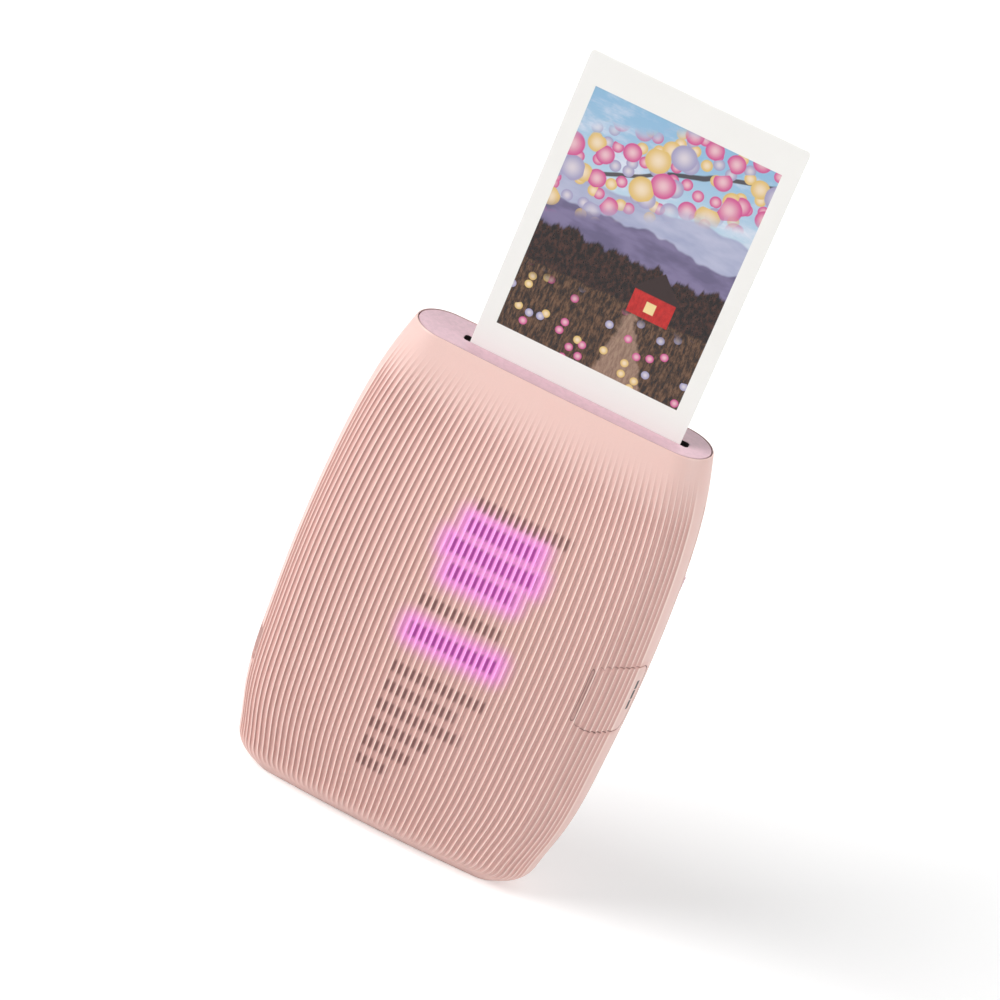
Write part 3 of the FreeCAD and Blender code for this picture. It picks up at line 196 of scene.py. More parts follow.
# Level bars behind the ribs: left end, right end, low edge and high edge
DARK_BARS = ((-8.5, -1.5, 19.4, 21.2), (-8.5, 3.5, 25.0, 26.8), (-8.5, 6.5, 30.6, 32.4),
             (-8.5, 12.0, 36.2, 38.0), (-8.5, 9.0, 41.8, 43.6), (-8.5, 14.5, 47.4, 49.2),
             (-8.5, 11.0, 66.8, 68.6), (-5.5, 17.5, 94.4, 96.2))
LIT_BARS = ((-8.0, 13.0, 58.2, 60.8), (-5.0, 10.5, 76.4, 78.8), (-7.5, 13.5, 82.4, 85.0),
            (-5.0, 11.5, 88.6, 91.0))
BAR_EDGE = 1.3
CORE_EDGE = 0.9
HALO_REACH = 7.5
HALO_FADE = 1.8
FRONT_Y = (-12.0, -9.0)

# The key's mark, and the half width of the painted shade along its shut line
MARK_Y = (-4.55, -3.75)
MARK_ROWS = ((58.5, 60.9), (61.4, 63.8), (64.3, 66.5))
MARK_EDGE = 0.22
SHUT_LINE = (0.04, 0.09)

# Colours as they look on screen
SHELL = (0.870, 0.700, 0.668)
# Painted highlight on the ridges and the smooth bands
SHELL_CREST_HIGHLIGHT = (0.985, 0.90, 0.865)
# Painted shade just past each ridge
SHELL_GROOVE_SHADE = (0.72, 0.52, 0.485)
# Painted shade on the top rim, where the deck meets the casing
RIM_SHADE = (0.36, 0.22, 0.22)
# Painted shade along the key's shut line
SHUT_SHADE = (0.50, 0.33, 0.31)
DECK = (0.845, 0.70, 0.74)
# Painted shade inside the print slot
SLOT_SHADE = (0.10, 0.06, 0.065)
# The display's glow painted into the plastic round the lit bars, and a painted highlight on the
# ridges there
HALO_GLOW_PAINT = (0.91, 0.55, 0.85)
HALO_CREST_HIGHLIGHT = (0.98, 0.74, 0.95)
GLOW = (0.90, 0.25, 0.88)
BAR_INK = (0.47, 0.29, 0.27)
LIT_INK = (0.62, 0.06, 0.56)
MARK_INK = (0.09, 0.04, 0.05)
PINK_BLOSSOM = (0.80, 0.30, 0.55)
LILAC_BLOSSOM = (0.62, 0.60, 0.74)
GOLD_BLOSSOM = (0.86, 0.72, 0.42)

# Camera and lights
CAMERA_LENS = 138.8
CAMERA_SENSOR = 36.0
CAMERA_FAR = 20.0
CAMERA_PLACE = (95.5, -807.2, 484.1)
CAMERA_RIGHT = (0.8907, 0.2823, 0.3560)
CAMERA_UP = (-0.4411, 0.3489, 0.8267)
CAMERA_AHEAD = (-0.1092, 0.8936, -0.4354)
# Direction, spread in degrees and strength of each sun
SUNS = {
    "key": ((-0.76, -0.41, 0.51), 36.0, 2.85),
    "rim": ((0.88, -0.25, 0.30), 30.0, 1.35),
    "back": ((0.25, 0.92, 0.30), 60.0, 1.1),
}
FILL = 0.28
FLOOR_LIFT = 0.30
FLOOR_RADIUS = 6.0
FLOOR_STEPS = 96

scene = bpy.context.scene


# Shapes

def metres(*lengths):
    return [length * MM for length in lengths]


def inset(box, by):
    """A rectangle's two ranges, drawn in on all sides."""
    return box[0] + by, box[1] - by, box[2] + by, box[3] - by


def spline(xs, ys, at):
    """A natural cubic spline through the points, read at the given places."""
    n = len(xs)
    step = np.diff(xs)
    rise = np.diff(ys) / step
    system = np.zeros((n, n))
    right = np.zeros(n)
    system[0, 0] = system[-1, -1] = 1.0
    for i in range(1, n - 1):
        system[i, i - 1] = step[i - 1]
        system[i, i] = 2 * (step[i - 1] + step[i])
        system[i, i + 1] = step[i]
        right[i] = 6 * (rise[i] - rise[i - 1])
    bend = np.linalg.solve(system, right)
    k = np.clip(np.searchsorted(xs, at) - 1, 0, n - 2)
    a = (xs[k + 1] - at) / step[k]
    b = (at - xs[k]) / step[k]
    curve = ((a ** 3 - a) * bend[k] + (b ** 3 - b) * bend[k + 1]) * step[k] ** 2 / 6
    return a * ys[k] + b * ys[k + 1] + curve


def section_at(z):
    """Half width, half depth and side radius of the barrel at heights z."""
    share = np.clip(np.asarray(z, float) / HEIGHT, 0, 1)
    heights = SECTION_SHARES[:, 0]
    full = (HALF_WIDTH, HALF_DEPTH, SIDE_RADIUS)
    return [spline(heights, SECTION_SHARES[:, i + 1], share) * full[i] for i in range(3)]


def half_oval(width, depth, side, shares, back):
    """Points and outward normals of one half of a section, by share of its arc length,
    from the parting line on the left to the one on the right, and the arc length."""
    centre = width - side
    long_radius = (centre ** 2 + depth ** 2 - side ** 2) / (2 * (depth - side))
    turn = math.atan2(centre, long_radius - depth)
    skip = math.asin(min(0.95, -PARTING_Y / side)) * (-1 if back else 1)
    side_run = side * (math.pi / 2 - turn - skip)
    total = 2 * (side_run + long_radius * turn)
    along = shares * total
    nx, ny = np.empty_like(along), np.empty_like(along)
    left = along < side_run
    right = along > total - side_run
    middle = ~(left | right)
    for ends, sign, run in ((left, -1, along), (right, 1, total - along)):
        angle = skip + run[ends] / side
        nx[ends], ny[ends] = sign * np.cos(angle), -np.sin(angle)
    angle = (along[middle] - total / 2) / long_radius
    nx[middle], ny[middle] = np.sin(angle), -np.cos(angle)
    x, y = side * nx + np.where(left, -centre, centre), side * ny
    x[middle] = long_radius * nx[middle]
    y[middle] = long_radius - depth + long_radius * ny[middle]
    if back:
        y, ny = -y, -ny
    return x, y, nx, ny, total


def smooth(low, high, at):
    t = np.clip((at - low) / (high - low), 0, 1)
    return t * t * (3 - 2 * t)


def flute_columns():
    """Shares along the half section, and each column's place across its own hollow, or -1."""
    pitch = (1 - 2 * SMOOTH_SHARE) / FLUTES
    shares = list(EDGE_SHARES)
    places = [-1.0] * len(EDGE_SHARES)
    for number in range(FLUTES):
        shares += [SMOOTH_SHARE + (number + place) * pitch for place in FLUTE_PLACES]
        places += FLUTE_PLACES
    shares += [1 - SMOOTH_SHARE] + [1 - share for share in reversed(EDGE_SHARES)]
    places += [0.0] + [-1.0] * len(EDGE_SHARES)
    return np.array(shares), np.array(places)


def flute_cut(places, z, total):
    """How deep the hollows are at one height: a round cutter that leaves at both ends."""
    reach = smooth(*FLUTE_BASE, z) * (1 - smooth(*FLUTE_TOP, z)) ** FLUTE_FADE
    across = np.abs(2 * places - 1)
    cut = np.clip(reach - (across / (1 - RIDGE_SHARE)) ** 2, 0, None)
    cut += np.where(across < STEP_WIDTH, STEP_SHARE * reach, 0)
    return np.where(places >= 0, cut, 0.0) * FLUTE_DEPTH * total / FLUTE_RUN


def row_heights():
    """Heights of the mesh rows, closest where the ribs begin, run out and meet the rim."""
    return np.concatenate((
        (0.0, 0.04, 0.15, 0.35), np.linspace(0.7, 10, 24), np.linspace(11, 97, 40),
        np.linspace(98, 121, 42), (122.0, 123.0, 124.0, 124.5, 124.72, 124.88, 124.97, 125.0)))


def across_hollow(rise, fall, places):
    """1 over part of each hollow with soft ends, and 0 off the ribs."""
    return np.where(places >= 0, smooth(*rise, places) * (1 - smooth(*fall, places)), 0)


def half_shell(name, back, body):
    """A closed ribbed half of the casing: the outer skin, the lining and the rims between them.
    Attributes mark the painted highlight on the ridges and the smooth bands, the painted shade just
    past each ridge, the flanks of the skin, and the painted shade on the top rim."""
    shares, places = flute_columns()
    rows = row_heights()
    width, depth, side = section_at(rows)
    count = len(shares)
    edge = np.minimum(np.arange(count), np.arange(count)[::-1])
    roll = np.select([edge == n for n in range(len(EDGE_ROLL))], list(EDGE_ROLL), 0.0)
    # Painted highlight along each ridge
    ridge = np.where(places >= 0, smooth(*CREST_HIGHLIGHT_RISE, np.abs(2 * places - 1)), SMOOTH_STRIP_HIGHLIGHT)
    # Painted shade just past each ridge
    shadow = across_hollow(GROOVE_SHADE_RISE, GROOVE_SHADE_FALL, places)
    flank = across_hollow(FLANK_RISE, FLANK_FALL, places)
    outer, lining, crest_highlights, groove_shades = [], [], [], []
    for number, z in enumerate(rows):
        x, y, nx, ny, total = half_oval(width[number], depth[number], side[number], shares, back)
        lip = LIP_DEPTH * max(0.0, (z - LIP_LOW) / (HEIGHT - LIP_LOW)) ** 3
        cut = flute_cut(places, z, total) + roll + lip
        line_x, line_y = x - nx * cut, y - ny * cut
        line_y[[0, -1]] = PARTING_Y
        outer.append(np.stack((line_x, line_y, np.full(count, z)), 1))
        reach = smooth(*FLUTE_BASE, z) * (1 - smooth(*FLUTE_TOP, z))
        # Painted highlight on the ridges, and on the smooth bands where the ribs run out
        crest_highlights.append(ridge * reach + SMOOTH_BAND_HIGHLIGHT * (1 - reach))
        # Painted shade just past the ridges, where the ribs are
        groove_shades.append(shadow * reach)
        thick = RIM_WALL if z > DECK_LOW else WALL
        inner_y = y - ny * thick
        inner_y = np.maximum(inner_y, PARTING_Y) if back else np.minimum(inner_y, PARTING_Y)
        inner_y[[0, -1]] = PARTING_Y
        low = FLOOR + z * (HEIGHT - FLOOR) / HEIGHT
        lining.append(np.stack((x - nx * thick, inner_y, np.full(count, low)), 1))
    lining[-1][:, 2] = HEIGHT
    verts = np.concatenate((np.array(outer).reshape(-1, 3), np.array(lining).reshape(-1, 3))) * MM
    item = mesh_object(name, verts, shell_faces(len(rows), count), body)
    blank = np.zeros(count * len(rows))
    # Painted shade on the top rim, darkest at the lining's top edge
    rim = blank.copy()
    rim[-count:] = 1.0
    marks = {"flank": (np.tile(flank, len(rows)), blank), "crest_highlight": (np.ravel(crest_highlights), blank),
             "groove_shade": (np.ravel(groove_shades), blank), "top_rim_shade": (blank, rim)}
    for key, parts in marks.items():
        mark = item.data.attributes.new(key, "FLOAT", "POINT")
        mark.data.foreach_set("value", np.concatenate(parts).astype(np.float32))
    return item


def shell_faces(rows, columns):
    """The skin's and the lining's faces, and the strips that join them all round."""
    size = rows * columns
    faces = []
    for r in range(rows - 1):
        for c in range(columns - 1):
            a = r * columns + c
            faces.append((a, a + 1, a + columns + 1, a + columns))
            b = a + size
            faces.append((b, b + columns, b + columns + 1, b + 1))
    for r in range(rows - 1):
        a = r * columns
        faces.append((a, a + columns, a + columns + size, a + size))
        a = r * columns + columns - 1
        faces.append((a, a + size, a + columns + size, a + columns))
    for c in range(columns - 1):
        faces.append((c, c + size, c + 1 + size, c + 1))
        a = (rows - 1) * columns + c
        faces.append((a, a + 1, a + 1 + size, a + size))
    return faces


def mesh_object(name, verts, faces, body=None, smooth_angle=50):
    """A mesh object, shaded smooth up to an angle, and on a body if one is named."""
    mesh = bpy.data.meshes.new(name)
    mesh.from_pydata([tuple(v) for v in verts], [], faces)
    mesh.update()
    item = bpy.data.objects.new(name, mesh)
    scene.collection.objects.link(item)
    shade(item, smooth_angle)
    if body:
        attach(item, body)
    return item


def shade(item, angle=50):
    mesh = item.data
    mesh.polygons.foreach_set("use_smooth", [True] * len(mesh.polygons))
    mesh.set_sharp_from_angle(angle=math.radians(angle))


def prism_x(name, box, radius, x_low, x_high, grow=0.0):
    """A rounded bar along X, as a cutter: the outline is y low, y high, z low, z high."""
    outline = rounded_outline(*inset(box, -grow), radius)
    n = len(outline)
    verts = [(x_low, y, z) for y, z in outline] + [(x_high, y, z) for y, z in outline]
    faces = [tuple(range(n))[::-1], tuple(range(n, 2 * n))]
    faces += [(i, (i + 1) % n, n + (i + 1) % n, n + i) for i in range(n)]
    return mesh_object(name, np.array(verts) * MM, faces)


def rounded_outline(u0, u1, v0, v1, radius, steps=10):
    """Points round a rectangle with round corners."""
    points = []
    for cu, cv, start in ((u1 - radius, v1 - radius, 0), (u0 + radius, v1 - radius, 90),
                          (u0 + radius, v0 + radius, 180), (u1 - radius, v0 + radius, 270)):
        for k in range(steps + 1):
            a = math.radians(start + 90 * k / steps)
            points.append((cu + radius * math.cos(a), cv + radius * math.sin(a)))
    return points


def soft_box(name, low, high, bevel, body=None):
    """A box with rounded edges."""
    bm = bmesh.new()
    bmesh.ops.create_cube(bm, size=1)
    size = Vector(high) - Vector(low)
    middle = (Vector(high) + Vector(low)) / 2
    for v in bm.verts:
        v.co = Vector((v.co.x * size.x, v.co.y * size.y, v.co.z * size.z)) + middle
    if bevel:
        bmesh.ops.bevel(bm, geom=bm.edges[:], offset=bevel, segments=3, profile=0.5,
                        affect="EDGES")
    return from_bmesh(name, bm, body)


def lathe(name, axis, start, profile):
    """A turned shape: profile pairs of (distance along the axis, radius)."""
    bm = bmesh.new()
    rings = []
    for along, radius in profile:
        ring = []
        for k in range(ROUND_STEPS):
            a = 2 * math.pi * k / ROUND_STEPS
            u, v = radius * math.cos(a), radius * math.sin(a)
            spot = {"x": (along, u, v), "y": (v, along, u), "z": (u, v, along)}[axis]
            ring.append(bm.verts.new(Vector(start) + Vector(spot)))
        rings.append(ring)
    for low, high in zip(rings, rings[1:]):
        for k in range(ROUND_STEPS):
            n = (k + 1) % ROUND_STEPS
            bm.faces.new((low[k], low[n], high[n], high[k]))
    bm.faces.new(rings[0][::-1])
    bm.faces.new(rings[-1])
    return from_bmesh(name, bm)


def ring(name, start, low, high, outer, inner):
    """A tube along Z with eased outer edges."""
    bm = bmesh.new()
    profile = ((low, inner), (low, outer - EASED_EDGE), (low + EASED_EDGE, outer),
               (high - EASED_EDGE, outer), (high, outer - EASED_EDGE), (high, inner))
    turns = [2 * math.pi * k / ROUND_STEPS for k in range(ROUND_STEPS)]
    rings = [[bm.verts.new((start[0] + radius * math.cos(a), start[1] + radius * math.sin(a),
                            along)) for a in turns] for along, radius in profile]
    for low_ring, high_ring in zip(rings, rings[1:] + rings[:1]):
        for k in range(ROUND_STEPS):
            n = (k + 1) % ROUND_STEPS
            bm.faces.new((low_ring[k], low_ring[n], high_ring[n], high_ring[k]))
    return from_bmesh(name, bm)


def coil(name, centre, radius, low, high, turns, wire):
    """A helical spring of round wire about Z, with its end turns closed up."""
    steps, sides = 28, 8
    count = turns * steps
    around = [2 * math.pi * n / sides for n in range(sides)]
    bm = bmesh.new()
    rings = []
    for k in range(count + 1):
        t = k / count
        share = SPRING_EVEN * t + (1 - SPRING_EVEN) * smooth(0.0, 1.0, t)
        rise = wire + (high - low - 2 * wire) * share
        a = 2 * math.pi * turns * t
        out = Vector((math.cos(a), math.sin(a), 0))
        middle = Vector((centre[0], centre[1], low + rise)) + out * (radius - wire)
        rings.append([bm.verts.new(middle + out * wire * math.cos(b)
                                   + Vector((0, 0, wire * math.sin(b)))) for b in around])
    for near, far in zip(rings, rings[1:]):
        for n in range(sides):
            m = (n + 1) % sides
            bm.faces.new((near[n], near[m], far[m], far[n]))
    bm.faces.new(rings[0])
    bm.faces.new(rings[-1])
    return from_bmesh(name, bm)


def from_bmesh(name, bm, body=None):
    """An object from a mesh built in millimetres."""
    bmesh.ops.recalc_face_normals(bm, faces=bm.faces)
    for v in bm.verts:
        v.co *= MM
    mesh = bpy.data.meshes.new(name)
    bm.to_mesh(mesh)
    bm.free()
    item = bpy.data.objects.new(name, mesh)
    scene.collection.objects.link(item)
    shade(item, 40)
    if body:
        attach(item, body)
    return item


def rod_profile(low, high, radius, edge=0.2):
    """A cylinder's profile with rounded ends."""
    return ((low, radius - edge), (low + edge * 0.3, radius - edge * 0.3), (low + edge, radius),
            (high - edge, radius), (high - edge * 0.3, radius - edge * 0.3), (high, radius - edge))


def carve(item, operation, *cutters):
    """Cut the item by each cutter, or keep what they share, and drop the cutters."""
    for cutter in cutters:
        change = item.modifiers.new("carve", "BOOLEAN")
        change.operation = operation
        change.solver = "EXACT"
        change.object = cutter
    graph = bpy.context.evaluated_depsgraph_get()
    mesh = bpy.data.meshes.new_from_object(item.evaluated_get(graph))
    item.modifiers.clear()
    item.data = mesh
    for cutter in cutters:
        bpy.data.objects.remove(cutter)
    shade(item)
    return item


def joined(item, *others):
    """Add the others' meshes to the item's own."""
    bm = bmesh.new()
    bm.from_mesh(item.data)
    for other in others:
        bm.from_mesh(other.data)
        bpy.data.objects.remove(other)
    bm.to_mesh(item.data)
    bm.free()
    shade(item)
    return item


# Materials

class Nodes:
    """A material's node tree, with short ways to add nodes."""

    def __init__(self, name):
        self.material = bpy.data.materials.new(name)
        self.material.use_nodes = True
        self.tree = self.material.node_tree
        self.tree.nodes.clear()
        self.out = self.add("ShaderNodeOutputMaterial")
        self.skin = self.add("ShaderNodeBsdfPrincipled")
        self.link(self.skin.outputs[0], self.out.inputs[0])
        self.place = self.add("ShaderNodeTexCoord").outputs["Object"]

    def add(self, kind, **settings):
        node = self.tree.nodes.new(kind)
        for key, number in settings.items():
            setattr(node, key, number)
        return node

    def link(self, source, target):
        if isinstance(source, bpy.types.NodeSocket):
            self.tree.links.new(source, target)
        else:
            target.default_value = source

    def math(self, operation, a, b=0.0):
        node = self.add("ShaderNodeMath", operation=operation)
        self.link(a, node.inputs[0])
        self.link(b, node.inputs[1])
        return node.outputs[0]

    def times(self, first, *others):
        """The product of all the sources."""
        for other in others:
            first = self.math("MULTIPLY", first, other)
        return first

    def mark(self, name):
        """A mesh attribute."""
        return self.add("ShaderNodeAttribute", attribute_name=name).outputs["Fac"]

    def ramp(self, source, low, high, out_low=0.0, out_high=1.0):
        node = self.add("ShaderNodeMapRange", interpolation_type="SMOOTHSTEP")
        for number, part in enumerate((source, low, high, out_low, out_high)):
            self.link(part, node.inputs[number])
        return node.outputs[0]

    def noise(self, scale, detail=3.0, rough=0.5, vector=None, stretch=None):
        source = vector or self.place
        if stretch:
            source = self.scaled(source, stretch)
        node = self.add("ShaderNodeTexNoise")
        self.link(source, node.inputs["Vector"])
        node.inputs["Scale"].default_value = scale
        node.inputs["Detail"].default_value = detail
        node.inputs["Roughness"].default_value = rough
        return node.outputs["Fac"]

    def scaled(self, vector, by):
        node = self.add("ShaderNodeVectorMath", operation="MULTIPLY")
        self.link(vector, node.inputs[0])
        node.inputs[1].default_value = by
        return node.outputs[0]

    def apart(self, vector=None):
        node = self.add("ShaderNodeSeparateXYZ")
        self.link(vector or self.place, node.inputs[0])
        return node.outputs

    def mix(self, factor, a, b):
        node = self.add("ShaderNodeMix", data_type="RGBA")
        self.link(factor, node.inputs[0])
        self.link(colour(a), node.inputs[6])
        self.link(colour(b), node.inputs[7])
        return node.outputs[2]

    def bump(self, height, strength, distance):
        node = self.add("ShaderNodeBump")
        node.inputs["Strength"].default_value = strength
        node.inputs["Distance"].default_value = distance
        self.link(height, node.inputs["Height"])
        self.link(node.outputs[0], self.skin.inputs["Normal"])

    def set(self, **inputs):
        for key, source in inputs.items():
            target = self.skin.inputs[key.replace("_", " ")]
            self.link(colour(source) if target.type == "RGBA" else source, target)


def colour(source):
    """A colour written as it looks on screen, turned linear; anything else is left as it is."""
    if not isinstance(source, tuple) or len(source) != 3:
        return source
    linear = (c / 12.92 if c <= 0.04045 else ((c + 0.055) / 1.055) ** 2.4 for c in source)
    return (*linear, 1)


def wear(nodes, base, dark, light, scale=900.0):
    """Fine uneven colour for a moulded or painted surface."""
    fine = nodes.noise(scale, 4.0, 0.6)
    broad = nodes.noise(45.0, 2.0, 0.5)
    tone = nodes.mix(nodes.ramp(fine, 0.35, 0.65), dark, light)
    return nodes.mix(nodes.ramp(broad, 0.3, 0.7, 0.0, 0.35), tone, base)


def plastic(name, base, rough=0.5, grain=0.35, scale=2600.0):
    """A moulded plastic: a spark-eroded grain in the bump and the roughness."""
    nodes = Nodes(name)
    dark = tuple(c * 0.965 for c in base)
    light = tuple(min(1.0, c * 1.02) for c in base)
    nodes.set(Base_Color=wear(nodes, base, dark, light))
    fine = nodes.noise(scale, 2.0, 0.55)
    nodes.set(Roughness=nodes.ramp(fine, 0.3, 0.7, rough - 0.05, rough + 0.06))
    nodes.bump(fine, grain, 0.00004)
    return nodes


def metal(name, base, rough=0.3, lines=(1.0, 1.0, 1.0)):
    """A drawn or turned metal with fine lines across the stretch."""
    nodes = Nodes(name)
    brush = nodes.noise(2200.0, 3.0, 0.6, stretch=lines)
    stain = nodes.noise(120.0, 3.0, 0.6)
    tone = nodes.mix(nodes.ramp(brush, 0.3, 0.7), tuple(c * 0.86 for c in base), base)
    nodes.set(Base_Color=nodes.mix(nodes.ramp(stain, 0.45, 0.8, 0.0, 0.4), tone,
                                   tuple(c * 0.75 for c in base)),
              Metallic=1.0, Roughness=nodes.ramp(brush, 0.3, 0.7, rough - 0.06, rough + 0.1))
    nodes.bump(brush, 0.3, 0.00002)
    return nodes


def box_distance(nodes, u, v, low_u, high_u, low_v, high_v):
    """How far two coordinates are outside a rectangle."""
    half_u, half_v = (high_u - low_u) / 2, (high_v - low_v) / 2
    du = nodes.math("SUBTRACT", nodes.math("ABSOLUTE", nodes.math("SUBTRACT", u, low_u + half_u)),
                    half_u)
    dv = nodes.math("SUBTRACT", nodes.math("ABSOLUTE", nodes.math("SUBTRACT", v, low_v + half_v)),
                    half_v)
    out_u = nodes.math("MAXIMUM", du, 0.0)
    out_v = nodes.math("MAXIMUM", dv, 0.0)
    return nodes.math("SQRT", nodes.math("ADD", nodes.times(out_u, out_u),
                                         nodes.times(out_v, out_v)))


def box_mask(nodes, u, v, low_u, high_u, low_v, high_v, edge):
    """1 inside a soft-edged rectangle of two coordinates."""
    return nodes.ramp(box_distance(nodes, u, v, low_u, high_u, low_v, high_v), 0.0, edge, 1.0, 0.0)


def shut_line_shade(nodes):
    """1 along the shut line round the power key, where shade is painted."""
    x, y, z = nodes.apart()
    radius = BUTTON[4]
    away = box_distance(nodes, y, z, *metres(*inset(BUTTON[:4], radius)))
    off = nodes.math("ABSOLUTE", nodes.math("SUBTRACT", away, (radius + BUTTON_GAP) * MM))
    return nodes.times(nodes.ramp(off, *metres(*SHUT_LINE), 1.0, 0.0),
                       nodes.math("GREATER_THAN", x, 0.0))


def most(nodes, masks):
    """The largest of the masks."""
    total = masks[0]
    for mask in masks[1:]:
        total = nodes.math("MAXIMUM", total, mask)
    return total


def shell_nodes(name, with_shut_shade=True):
    """The casing's pink plastic and its colour: painted highlight on the ridges and the smooth
    bands, painted shade just past each ridge and on the top rim, and, if asked, painted shade along
    the key's shut line.
    """
    nodes = Nodes(name)
    fine = nodes.noise(2600.0, 2.0, 0.55)
    base = wear(nodes, SHELL, tuple(c * 0.988 for c in SHELL), tuple(c * 1.006 for c in SHELL),
                2600.0)
    # Painted highlight on the ridges and the smooth bands
    base = nodes.mix(nodes.times(nodes.mark("crest_highlight"), 0.85), base, SHELL_CREST_HIGHLIGHT)
    # Painted shade just past each ridge
    base = nodes.mix(nodes.times(nodes.mark("groove_shade"), 0.8), base, SHELL_GROOVE_SHADE)
    # Painted shade on the top rim
    base = nodes.mix(nodes.ramp(nodes.mark("top_rim_shade"), 0.35, 0.65, 0.0, 0.85), base, RIM_SHADE)
    # Painted shade along the key's shut line
    if with_shut_shade:
        base = nodes.mix(nodes.times(shut_line_shade(nodes), 0.75), base, SHUT_SHADE)
    nodes.set(Roughness=nodes.ramp(fine, 0.3, 0.7, 0.44, 0.56),
              Subsurface_Weight=0.08, Subsurface_Scale=0.0012,
              Subsurface_Radius=(1.0, 0.55, 0.45),
              Coat_Weight=0.4, Coat_Roughness=0.3)
    nodes.bump(fine, 0.20, 0.00002)
    return nodes, base


def plain_material():
    """The casing's plastic for the back and the door."""
    nodes, base = shell_nodes("shell_plain", with_shut_shade=False)
    nodes.set(Base_Color=base)
    return nodes.material


def front_material():
    """The casing's plastic with the light display's bars showing through it, the display's glow
    painted into the plastic round the lit bars with a painted highlight on the ridges there, and
    the glow that the plastic emits there.
    """
    nodes, base = shell_nodes("front_plastic")
    x, y, z = nodes.apart()
    front = nodes.ramp(y, *metres(*FRONT_Y), 1.0, 0.0)
    bars, cores, halos = (
        most(nodes, [box_mask(nodes, x, z, *metres(*bar, edge)) for bar in group])
        for group, edge in ((DARK_BARS + LIT_BARS, BAR_EDGE), (LIT_BARS, CORE_EDGE),
                            (LIT_BARS, HALO_REACH)))
    dash = nodes.times(bars, nodes.mark("flank"), front)
    halo = nodes.times(nodes.math("POWER", halos, HALO_FADE), front)
    # The display's glow painted into the plastic's colour
    glow_painted = nodes.mix(nodes.times(halo, 0.75), base, HALO_GLOW_PAINT)
    # Painted highlight on the ridges within the glow
    glow_painted = nodes.mix(nodes.times(halo, 0.45, nodes.mark("crest_highlight")), glow_painted, HALO_CREST_HIGHLIGHT)
    ink = nodes.mix(nodes.times(cores, front), BAR_INK, LIT_INK)
    light = nodes.times(halo, nodes.math("SUBTRACT", 1.0, nodes.times(dash, 0.8)))
    nodes.set(Base_Color=nodes.mix(nodes.times(dash, 0.88), glow_painted, ink),
              Emission_Color=GLOW, Emission_Strength=nodes.times(light, 0.20))
    return nodes.material


def button_material():
    """The casing's plastic with three short dark strokes as the key's mark."""
    nodes, base = shell_nodes("button_plastic")
    x, y, z = nodes.apart()
    strokes = [box_mask(nodes, y, z, *metres(*MARK_Y, *row, MARK_EDGE)) for row in MARK_ROWS]
    nodes.set(Base_Color=nodes.mix(most(nodes, strokes), base, MARK_INK))
    return nodes.material


def deck_material():
    """The deck's rose plastic, with shade painted dark inside the slot."""
    nodes = plastic("deck_plastic", DECK, 0.5, 0.15)
    x, y, z = nodes.apart()
    base = nodes.skin.inputs["Base Color"].links[0].from_socket
    # Painted shade inside the slot, below the deck's top face
    inside = box_mask(nodes, x, y, *metres(*SLOT, 0.3))
    deep = nodes.times(inside, nodes.math("LESS_THAN", z, (HEIGHT - 0.12) * MM))
    nodes.set(Base_Color=nodes.mix(deep, base, SLOT_SHADE))
    return nodes.material


